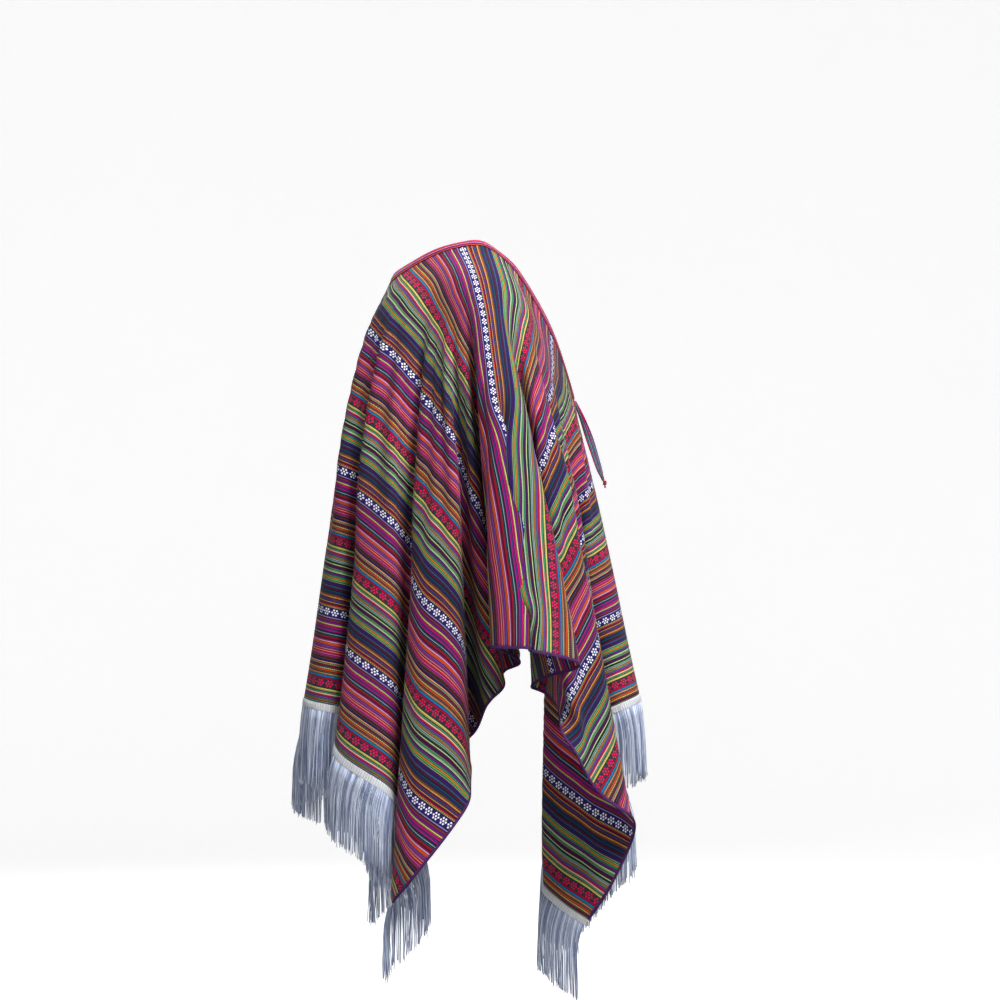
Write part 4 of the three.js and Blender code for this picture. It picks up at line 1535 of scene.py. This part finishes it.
@dataclass
class Finishes:
    """The finishes that the pieces take, made once."""

    striping: bpy.types.NodeTree = field(init=False)
    weave: bpy.types.NodeTree = field(init=False)

    def __post_init__(self) -> None:
        self.striping = Striping().group()
        self.weave = weave_group()

    def _start(self, name: str, roughness: float, sheen: float) -> tuple[Board, bpy.types.Node]:
        """Start a material, and return its board and its shader."""
        made = bpy.data.materials.new(name)
        made.use_nodes = True
        board = Board(made.node_tree)
        shader = made.node_tree.nodes["Principled BSDF"]
        shader.inputs["Roughness"].default_value = roughness
        shader.inputs["Sheen Weight"].default_value = sheen
        shader.inputs["Sheen Roughness"].default_value = 0.5
        shader.inputs["Specular IOR Level"].default_value = 0.2
        return board, shader

    @staticmethod
    def _dyed(board: Board, colour: Socket, tone: Socket, depth: float) -> Socket:
        """Deepen a dye's colour, and vary its light by a tone."""
        deep = board.node("ShaderNodeHueSaturation")
        board.feed(deep.inputs["Saturation"], depth)
        board.feed(deep.inputs["Color"], colour)
        return board.mix(1.0, deep.outputs[0], board.grey(tone), "MULTIPLY")

    def cloth(self) -> bpy.types.Material:
        """Make the striped woven cloth."""
        board, shader = self._start("woven_stripes", 0.88, 0.04)
        place, across, along = board.uv()
        stripes = placed_group(board, self.striping, Across=across, Along=along)
        weave = placed_group(board, self.weave, Place=place, Across=across, Along=along)
        tone = board.math("ADD", board.math("MULTIPLY", weave.outputs["Tone"], 0.6), 0.75)
        board.feed(shader.inputs["Base Color"], self._dyed(board, stripes.outputs["Colour"], tone, 1.1))
        raised = board.math("MULTIPLY", stripes.outputs["Flower"], 0.8)
        height = board.math("ADD", weave.outputs["Height"], raised)
        board.feed(shader.inputs["Normal"], board.bump(height, 0.5, 0.35 * MM))
        return bpy.data.materials["woven_stripes"]

    def tape(self, name: str, stripes: Sequence[tuple[float, Yarn]]) -> bpy.types.Material:
        """Make a narrow striped tape, whose stripes run along it.

        Args:
            name: The material's name.
            stripes: Where each stripe starts across the tape, from 0 to 1 of U, and its yarn.

        Returns:
            The material.
        """
        board, shader = self._start(name, 0.72, 0.05)
        place, across, along = board.uv()
        colour = board.ramp(across, [(start, yarn.linear) for start, yarn in stripes])
        fine = board.noise(board.stretched(place, (9.0, 1400.0, 1.0)), 1.0, 2.0)
        shade = board.math("ADD", board.math("MULTIPLY", fine, 0.6), 0.7)
        board.feed(shader.inputs["Base Color"], self._dyed(board, colour, shade, 1.15))
        picks, ribs = board.ribs(along, 1.1 * MM), board.ribs(across, 1 / 9)
        board.feed(shader.inputs["Normal"], board.bump(board.math("ADD", picks, ribs), 0.4, 0.3 * MM))
        return bpy.data.materials[name]

    def thread(
        self, name: str, deep: Yarn, light: Yarn, roughness: float, sheen: float
    ) -> bpy.types.Material:
        """Make a twisted thread: a tone that varies along it, and its plies as bump and as painted shade in
        the grooves between them.

        Args:
            name: The material's name.
            deep: The yarn in its dark stretches; for the cream and the rayon, a painted shade copy of the
                light yarn.
            light: The yarn in its light stretches.
            roughness: The fibre's roughness.
            sheen: The fibre's sheen.

        Returns:
            The material.
        """
        board, shader = self._start(name, roughness, sheen)
        _, across, along = board.uv()
        lengthwise = board.math("MULTIPLY", along, 1 / (1.6 * MM))
        twist = board.math("FRACT", board.math("ADD", lengthwise, board.math("MULTIPLY", across, 2.0)))
        ply = board.math("SINE", board.math("MULTIPLY", twist, math.pi))
        object_place = board.node("ShaderNodeTexCoord").outputs["Object"]
        tone = board.noise(board.stretched(object_place, (260.0, 260.0, 60.0)), 1.0, 2.0)
        own = board.node("ShaderNodeTexWhiteNoise", noise_dimensions="1D")
        board.feed(own.inputs["W"], board.math("FLOOR", across))
        # The ply's height darkens the colour in the grooves between plies: painted shade.
        share = board.math("ADD", board.math("MULTIPLY", tone, 0.4), board.math("MULTIPLY", ply, 0.15))
        share = board.math("ADD", share, board.math("MULTIPLY", own.outputs["Value"], 0.6))
        colour = board.ramp(share, [(0.3, deep.linear), (0.85, light.linear)], smooth=True)
        board.feed(shader.inputs["Base Color"], colour)
        board.feed(shader.inputs["Normal"], board.bump(ply, 0.5, 0.15 * MM))
        return bpy.data.materials[name]


# ---- The pieces --------------------------------------------------------------------------------------------


def finish_piece(made: bpy.types.Object, material: bpy.types.Material, slot: str, *nodes: str) -> None:
    """Give a piece its finish and its body, and hide the model's nodes that it stands for."""
    made.data.materials.clear()
    made.data.materials.append(material)
    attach(made, BODY)
    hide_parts(*nodes)


@dataclass
class ClothPiece:
    """The garment's one cloth, as a thin shell on its draped middle surface."""

    cut: FlatCut
    surface: ClothSurface
    thickness: float = 1.4 * MM

    def build(self, material: bpy.types.Material) -> bpy.types.Object:
        """Make the shell and finish it."""
        net = self.surface.net
        made = mesh_object("poncho_cloth", net.vertices(net.points), net.quads())
        grid_s, grid_t = np.meshgrid(net.s, net.t)
        give_uv(made, net.vertices(np.stack([grid_s, grid_t], axis=-1)))
        bpy.ops.object.shade_smooth()
        shell = made.modifiers.new("thickness", "SOLIDIFY")
        shell.thickness = self.thickness
        shell.offset = 0.0
        finish_piece(made, material, "woven_cloth", "cloth")
        return made


@dataclass
class NeckTape:
    """The tape folded over both edges of the neck slit, with its line of stitches."""

    cut: FlatCut
    surface: ClothSurface
    reach: float = 13 * MM
    thickness: float = 0.9 * MM
    gap: float = 0.95 * MM
    stitch_pitch: float = 4.2 * MM
    stitch_length: float = 2.9 * MM
    stitch_place: float = 0.82
    stitch_radius: float = 0.26 * MM
    stitch_bow: float = 0.22 * MM
    stitch_sunk: float = 0.12 * MM

    def build(self, material: bpy.types.Material) -> bpy.types.Object:
        """Make both sides of the tape, joined, and finish it."""
        low, high = self.gap, self.gap + self.thickness
        round_edge = [(-0.6, 0.80), (-1.25, 0.40), (-1.5, 0.0), (-1.25, -0.40), (-0.6, -0.80)]
        outer = [(self.reach, high - 0.2 * MM), (0.6 * self.reach, high), (0.2 * self.reach, high)]
        inner = [(place, -lift) for place, lift in reversed(outer)]
        over = [(inside * MM, lift * high) for inside, lift in round_edge]
        back = [(self.reach, -low), (0.2 * self.reach, -low), (-0.2 * MM, -0.6 * low),
                (-0.2 * MM, 0.6 * low), (0.2 * self.reach, low), (self.reach, low)]
        section = np.array([*outer, *over, *inner, *back])
        across = np.clip(np.abs(section[:, 0]) / self.reach, 0.0, 1.0)
        runs = [EdgeRun.of_slit(self.surface, self.cut, side, 4 * MM) for side in (-1.0, 1.0)]
        parts = [strip(f"tape_part_{k}", run, section, across) for k, run in enumerate(runs)]
        made = join("neck_tape", parts)
        finish_piece(made, material, "woven_tape", "neck_binding")
        return made

    def stitches(self, material: bpy.types.Material) -> bpy.types.Object:
        """Make the line of stitches that holds the tape, on its outer face."""
        paths = []
        for side in (-1.0, 1.0):
            run = EdgeRun.of_slit(self.surface, self.cut, side, 1 * MM)
            starts = np.arange(3 * MM, run.along[-1] - self.stitch_length - 2 * MM, self.stitch_pitch)
            along = starts[:, None] + np.linspace(0.0, self.stitch_length, 5)
            t = np.interp(along, run.along, run.t)
            s = np.full_like(t, side * self.stitch_place * self.reach)
            bow = np.sin(np.linspace(0, math.pi, 5)) * self.stitch_bow
            lift = np.broadcast_to(self.gap + self.thickness - self.stitch_sunk + bow, t.shape)
            paths.append(self.surface.point(s, t, np.full_like(t, side), lift))
        made = threads("tape_stitches", np.concatenate(paths), self.stitch_radius, np.array([0.0, 0.0, 1.0]))
        finish_piece(made, material, "woven_tape")
        return made


@dataclass
class Overlock:
    """The overlocked edge of one side: thread wound over the cut edge, with its ends left hanging."""

    cut: FlatCut
    surface: ClothSurface
    side: float
    name: str
    node: str
    width: float = 4 * MM
    pitch: float = 2.0 * MM
    thread: float = 0.55 * MM
    tail: float = 14 * MM
    tail_radius: float = 0.34 * MM

    def build(self, material: bpy.types.Material) -> bpy.types.Object:
        """Wind the thread, add its tails and finish the piece."""
        run = EdgeRun.of_side(self.surface, self.cut, self.side, 5 * MM)
        middle, reach = self.width / 2 - 0.5 * MM, self.width / 2 + 0.2 * MM
        path = wrapped(run, middle, reach, 1.15 * MM, self.pitch, 10)
        edge = run.surface.point(run.s, run.t, run.side)
        winding = threads(f"{self.name}_winding", path[None], self.thread / 2, unit(edge[-1] - edge[0]))
        made = join(self.name, [winding, self._base(run), self._tails(run)])
        finish_piece(made, material, "overlock_thread", self.node)
        return made

    def _base(self, run: EdgeRun) -> bpy.types.Object:
        """Make the layer of thread that lies flat on the cloth under the winding."""
        section = np.array([(3.4, 0.72), (3.4, 0.95), (-0.5, 0.95), (-0.5, -0.95), (3.4, -0.95), (3.4, -0.72),
                            (-0.1, -0.72), (-0.1, 0.72)]) * MM
        return strip(f"{self.name}_base", run, section, section[:, 0] * 200)

    def _tails(self, run: EdgeRun) -> bpy.types.Object:
        """Make the short thread ends that hang at both corners."""
        paths = []
        share = np.linspace(0.0, 1.0, 6)
        for end in (0, -1):
            corner = run.spots(np.full((len(run.s), 1), 1 * MM), np.zeros((len(run.s), 1)))[end, 0]
            out = run.past()[end]
            for lean in (-0.35, 0.5):
                drop = np.array([0.0, 0.3 * lean, -1.0])
                down = share[:, None]
                sweep = down * (0.45 * (1 - down) * out + drop * (0.5 + 0.5 * down))
                paths.append(corner + self.tail * (1 + 0.3 * lean) * sweep)
        return threads(f"{self.name}_tails", np.stack(paths), self.tail_radius, np.array([1.0, 0.0, 0.0]))


@dataclass
class Header:
    """The white braided header of one hem's fringe."""

    cut: FlatCut
    surface: ClothSurface
    end: float
    name: str
    node: str
    height: float = 10.5 * MM
    thickness: float = 2.0 * MM
    pitch: float = 3.6 * MM
    thread: float = 1.1 * MM

    def build(self, material: bpy.types.Material) -> bpy.types.Object:
        """Make the braid's band and the thread worked over it, and finish the piece."""
        run = EdgeRun.of_hem(self.surface, self.cut, self.end, 5 * MM)
        half, top, low = 0.36 * self.thickness, 0.6 * MM, self.height
        section = np.array([(-top, half), (-0.5 * low, 1.15 * half), (-low, half), (-low, -half),
                            (-0.5 * low, -1.15 * half), (-top, -half)])
        band = strip(f"{self.name}_band", run, section, section[:, 0] * 100)
        middle, reach = -(self.height + top) / 2, self.height / 2
        windings = []
        for hand, raised in ((-1.0, 0.0), (1.0, 0.25 * MM)):
            tall = 0.46 * self.thickness + raised
            windings.append(wrapped(run, middle, reach, tall, self.pitch, 12, hand))
        paths = np.stack(windings)
        winding = threads(f"{self.name}_winding", paths, self.thread / 2, unit(paths[0, -1] - paths[0, 0]))
        made = join(self.name, [band, winding])
        finish_piece(made, material, "header_braid", self.node)
        return made


@dataclass
class Fringe:
    """The fringe of one hem: two rows of loose rayon strands under the header."""

    cut: FlatCut
    surface: ClothSurface
    end: float
    name: str
    node: str
    seed: int
    start: float = 10.8 * MM
    length: float = 106 * MM
    pitch: float = 1.8 * MM
    diameter: float = 1.3 * MM
    clump: int = 3
    steps: int = 8
    row_lift: float = 0.42 * MM
    drift: float = 1.6 * MM
    loose: float = 0.5 * MM
    swing: float = 2.6 * MM
    sway: float = 1.0 * MM
    ripple: float = 0.8 * MM
    uneven: float = 0.022

    def build(self, material: bpy.types.Material) -> bpy.types.Object:
        """Hang the strands, and finish the piece."""
        rows = [self._row(self.row_lift, self.seed), self._row(-self.row_lift, self.seed + 1)]
        paths = np.concatenate(rows)
        share = np.linspace(0.0, 1.0, self.steps)
        radius = self.diameter / 2 * (1.0 - 0.25 * share**3)
        made = threads(self.name, paths, radius, np.array([1.0, 0.3, 0.1]))
        finish_piece(made, material, "rayon_fringe", self.node)
        return made

    def _row(self, lift: float, seed: int) -> Array:
        """Return the strands of one row, each a run of points from the header down."""
        random = np.random.default_rng(seed)
        run = EdgeRun.of_hem(self.surface, self.cut, self.end, self.pitch)
        keep = slice(2, -2)
        count = len(run.s[keep])
        top = run.spots(np.full((len(run.s), 1), -self.start), np.full((len(run.s), 1), lift))[keep, 0]
        down = run.past()[keep]
        facing = self.surface.normal(run.s, run.t, run.side)[keep]
        sideways = unit(np.cross(down, facing))
        group = np.arange(count) // self.clump
        pull = (group * self.clump + (self.clump - 1) / 2 - np.arange(count)) * self.pitch
        drift = random.normal(0, self.drift, group[-1] + 1)[group]
        gather = random.uniform(0.3, 0.8, count) * pull + drift + random.normal(0, self.loose, count)
        swing = random.normal(0, self.swing, group[-1] + 1)[group] + random.normal(0, self.sway, count)
        length = self.length * (1 + random.normal(0, self.uneven, count))
        share = np.linspace(0.0, 1.0, self.steps)
        weight = np.clip(0.35 + 1.5 * share, 0, 1)[None, :, None]
        straight = np.array([0.0, 0.0, -1.0])
        heading = unit((1 - weight) * down[:, None] + weight * straight)
        stride = length[:, None, None] / (self.steps - 1) * heading[:, :-1]
        path = top[:, None] + np.concatenate([np.zeros((count, 1, 3)), np.cumsum(stride, axis=1)], axis=1)
        ease = (share**1.5)[None, :, None]
        turns, start = random.uniform(3, 8, count)[:, None], random.uniform(0, 6, count)[:, None]
        wave = self.ripple * np.sin(share * turns + start)
        path += ease * (gather[:, None, None] * sideways[:, None] + swing[:, None, None] * facing[:, None])
        return path + (wave * share)[:, :, None] * facing[:, None]


@dataclass(frozen=True)
class TieRoute:
    """One hanging strand of the tie: the model's node, the strand's name and its route in millimetres."""

    node: str
    name: str
    points: tuple[tuple[float, float, float], ...]
    width: float = 7.0 * MM
    thickness: float = 1.7 * MM
    steps: int = 60

    def path(self) -> Array:
        """Return the smooth run through the route's points."""
        knots = np.array(self.points) * MM
        ends = np.concatenate([2 * knots[:1] - knots[1:2], knots, 2 * knots[-1:] - knots[-2:-1]])
        found = []
        for index in range(len(knots) - 1):
            a, b, c, d = ends[index : index + 4]
            u = np.linspace(0, 1, self.steps // (len(knots) - 1) + 1)[:-1, None]
            found.append(0.5 * (2 * b + (c - a) * u + (2 * a - 5 * b + 4 * c - d) * u**2
                                + (3 * b - a - 3 * c + d) * u**3))
        return np.concatenate([*found, knots[-1:]])


TIE_ROUTES = (
    TieRoute("tie_right", "strand_right", ((-3.0, -143.5, -201), (-6.0, -152.5, -224), (-7.5, -163.5, -258),
                                           (-6.0, -174.5, -292), (-2.0, -184.5, -315))),
    TieRoute("tie_left", "strand_left", ((3.0, -143.5, -201), (6.0, -155.0, -224), (8.0, -168.5, -258),
                                         (6.5, -179.0, -292), (2.0, -185.0, -315))),
)


@dataclass
class Tie:
    """The two hanging strands at the slit's front end, and the knot that joins them."""

    knot_place: tuple[float, float, float] = (0.0, -186.5 * MM, -318.3 * MM)
    knot_radius: float = 2.0 * MM
    cord_radius: float = 1.5 * MM

    def build(self, tape: bpy.types.Material, thread: bpy.types.Material) -> None:
        """Make both strands, with the knot on them."""
        knot = self._knot(thread)
        for route in TIE_ROUTES:
            path = route.path()
            length = float(np.linalg.norm(np.diff(path, axis=0), axis=1).sum())
            strand = self._strand(route, path)
            finish_piece(strand, tape, "woven_tape", route.node)
            LOG.info("%s is %.0f mm long", route.name, length / MM)

    @staticmethod
    def _strand(route: TieRoute, path: Array) -> bpy.types.Object:
        """Make one flat strand, folded along its length and slightly twisted."""
        tangent = unit(np.gradient(path, axis=0))
        share = np.linspace(0.0, 1.0, len(path))
        turn = 0.5 * np.sin(2.2 * math.pi * share)
        across = unit(np.cross(tangent, np.array([1.0, 0.0, 0.0])))
        other = np.cross(tangent, across)
        wide = np.cos(turn)[:, None] * across + np.sin(turn)[:, None] * other
        thin = np.cross(tangent, wide)
        angle = np.linspace(0, 2 * math.pi, 12, endpoint=False)
        narrow = 0.55 + 0.45 * np.sin(math.pi * np.clip(share * 1.1, 0.0, 1.0)) ** 0.6
        x = route.width / 2 * np.cos(angle)
        y = route.thickness / 2 * np.sign(np.sin(angle)) * np.abs(np.sin(angle)) ** 0.6
        rings = path[:, None] + (narrow[:, None] * x)[:, :, None] * wide[:, None] + y[:, None] * thin[:, None]
        along = np.concatenate([[0.0], np.cumsum(np.linalg.norm(np.diff(path, axis=0), axis=1))])
        places = np.stack(np.broadcast_arrays((x / route.width + 0.5)[None], along[:, None]), axis=-1)
        return loft(route.name, rings, places)

    def _knot(self, material: bpy.types.Material) -> bpy.types.Object:
        """Make the overhand knot, a tube through its trefoil, and the short ends that leave it."""
        turn = np.linspace(0, 2 * math.pi, 49)
        ring = np.stack([np.sin(turn) + 2 * np.sin(2 * turn), np.cos(turn) - 2 * np.cos(2 * turn),
                         -np.sin(3 * turn)], axis=1)
        scale = np.array([self.knot_radius / 2.6, self.knot_radius / 2.6, 2.6 * MM])
        paths = [np.array(self.knot_place) + ring * scale]
        share = np.linspace(0.0, 1.0, 49)[:, None]
        for lean in (-1.0, 1.0):
            heading = np.array([0.0012 * lean, -0.0012 - 0.0010 * lean, -0.0055])
            paths.append(np.array(self.knot_place) + np.array([0.0, 0.0, -0.002]) + share * heading)
        routes = np.stack(paths)
        upright = np.array([[[0.05, 0.1, 1.0]], [[1.0, 0.0, 0.0]], [[1.0, 0.0, 0.0]]])
        radius = self.cord_radius * np.array([[1.0], [0.62], [0.62]])
        tube = threads("wound_knot", routes, radius, upright)
        smooth = tube.modifiers.new("round", "SUBSURF")
        smooth.levels = 1
        smooth.render_levels = 1
        bpy.ops.object.modifier_apply(modifier="round")
        bpy.ops.object.shade_smooth()
        finish_piece(tube, material, "woven_tape", "tie_knot")
        return tube


# ---- The studio -----------------------------------------------------------------------------------------


@dataclass(frozen=True)
class SoftLight:
    """A large soft light, aimed at the garment."""

    name: str
    place: tuple[float, float, float]
    size: float
    watts: float


@dataclass
class Studio:
    """The camera, the lights and the pale sweep behind the garment."""

    aim: tuple[float, float, float] = (0.0, -0.036, -0.343)
    distance: float = 4.0
    lens: float = 100.0
    floor: float = -1.5
    lights: tuple[SoftLight, ...] = (
        SoftLight("key", (-2.2, -1.3, 2.6), 1.2, 215.0),
        SoftLight("fill", (-2.6, 2.6, 0.3), 2.2, 9.0),
        SoftLight("far", (3.2, 0.6, 1.6), 2.4, 100.0),
        SoftLight("top", (-0.4, -0.4, 2.8), 1.4, 60.0),
    )

    def camera(self) -> None:
        """Set the camera square to the wearer's right side."""
        data = bpy.data.cameras.new("camera")
        data.lens = self.lens
        data.sensor_width = 36.0
        made = linked("camera", data)
        made.location = (self.aim[0] - self.distance, self.aim[1], self.aim[2])
        made.rotation_euler = Vector((1.0, 0.0, 0.0)).to_track_quat("-Z", "Y").to_euler()
        bpy.context.scene.camera = made

    def build(self) -> None:
        """Place the lights, the world's light and the sweep."""
        for light in self.lights:
            data = bpy.data.lights.new(light.name, "AREA")
            data.size = light.size
            data.energy = light.watts
            made = linked(light.name, data)
            made.location = light.place
            heading = Vector(self.aim) - Vector(light.place)
            made.rotation_euler = heading.to_track_quat("-Z", "Y").to_euler()
        world = bpy.data.worlds.new("pale_room")
        world.use_nodes = True
        world.node_tree.nodes["Background"].inputs["Color"].default_value = (1.0, 1.0, 1.0, 1.0)
        world.node_tree.nodes["Background"].inputs["Strength"].default_value = 0.25
        bpy.context.scene.world = world
        bpy.context.scene.view_settings.view_transform = "Standard"
        self._sweep()

    def _sweep(self) -> None:
        """Make the floor and the wall that it sweeps up into, all round the garment."""
        profile = [(0.0, 0.0), (5.0, 0.0)]
        bend, far = 2.5, 5.0
        for a in np.linspace(0, math.pi / 2, 13)[1:]:
            profile.append((far + bend * math.sin(a), bend * (1 - math.cos(a))))
        profile.append((far + bend, 9.0))
        ring = np.linspace(0, 2 * math.pi, 48, endpoint=False)
        distance, height = np.array(profile).T
        points = np.stack([distance[:, None] * np.cos(ring), distance[:, None] * np.sin(ring),
                           np.broadcast_to(self.floor + height[:, None], (len(profile), len(ring)))], axis=-1)
        made = mesh_object("pale_floor", points[1:].reshape(-1, 3), ring_faces(len(profile) - 1, len(ring)))
        bpy.ops.object.mode_set(mode="EDIT")
        bpy.ops.mesh.select_all(action="DESELECT")
        bpy.ops.object.mode_set(mode="OBJECT")
        made.data.vertices.foreach_set("select", np.arange(len(made.data.vertices)) < len(ring))
        bpy.ops.object.mode_set(mode="EDIT")
        bpy.ops.mesh.edge_face_add()
        turn_faces(inside=True)
        bpy.ops.object.shade_smooth_by_angle(angle=math.radians(40))
        paper = bpy.data.materials.new("pale_paper")
        paper.use_nodes = True
        board = Board(paper.node_tree)
        shader = paper.node_tree.nodes["Principled BSDF"]
        place = board.node("ShaderNodeTexCoord").outputs["Object"]
        seen = board.node("ShaderNodeLightPath").outputs["Is Camera Ray"]
        tone = board.math("ADD", board.math("MULTIPLY", board.noise(place, 1.2), 0.03), 0.5)
        tone = board.math("ADD", tone, board.math("MULTIPLY", seen, 0.15))
        board.feed(shader.inputs["Base Color"], board.grey(tone))
        board.feed(shader.inputs["Emission Color"], (1.0, 1.0, 1.0, 1.0))
        board.feed(shader.inputs["Emission Strength"], board.math("MULTIPLY", seen, 0.66))
        shader.inputs["Roughness"].default_value = 0.95
        shader.inputs["Specular IOR Level"].default_value = 0.1
        made.data.materials.append(paper)
        made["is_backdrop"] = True


def corners(bounds: tuple[Vector, Vector]) -> list[list[float]]:
    """Return a box's two corners as plain lists."""
    return [[float(v) for v in corner] for corner in bounds]


def main() -> None:
    """Build the poncho and its studio."""
    at_start = corners(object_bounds())
    studio = Studio()
    studio.camera()
    finishes = Finishes()
    red = finishes.thread("red_thread", Yarn.MAROON, Yarn.THREAD_RED, 0.7, 0.15)
    purple = finishes.thread("purple_thread", Yarn.NIGHT, Yarn.THREAD_PURPLE, 0.75, 0.03)
    # The cream and the rayon threads mix a painted shade copy of their yarn with the yarn itself.
    cream = finishes.thread("cream_thread", Yarn.CREAM_SHADE, Yarn.CREAM, 0.6, 0.05)
    rayon = finishes.thread("rayon_strands", Yarn.RAYON_SHADE, Yarn.RAYON, 0.3, 0.0)
    tape = finishes.tape("striped_tape", NECK_TAPE_STRIPES)
    Tie().build(finishes.tape("tie_tape", TIE_TAPE_STRIPES), red)

    cut = FlatCut()
    net = ClothNet.over(cut, 13.2 * MM)
    placed = worn_start(net, WornForm(cut))
    net.points = Drape().relax(net, placed, cut)
    settled = net.finer()
    Creases().lay(settled)
    surface = ClothSurface(settled)
    cloth = ClothPiece(cut, surface).build(finishes.cloth())
    neck = NeckTape(cut, surface)
    trims = [neck.build(tape), neck.stitches(red)]
    trims.append(Overlock(cut, surface, -1.0, "overlock_right", "side_edge_right").build(purple))
    trims.append(Overlock(cut, surface, 1.0, "overlock_left", "side_edge_left").build(purple))
    for end, name, seed in ((1.0, "back", 11), (-1.0, "front", 23)):
        trims.append(Header(cut, surface, end, f"braid_{name}", f"header_{name}").build(cream))
        trims.append(Fringe(cut, surface, end, f"strands_{name}", f"fringe_{name}", seed).build(rayon))

    studio.build()
    at_end = corners(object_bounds())
    LOG.info("box at start %s, at end %s", at_start, at_end)


if __name__ == "__main__":
    main()
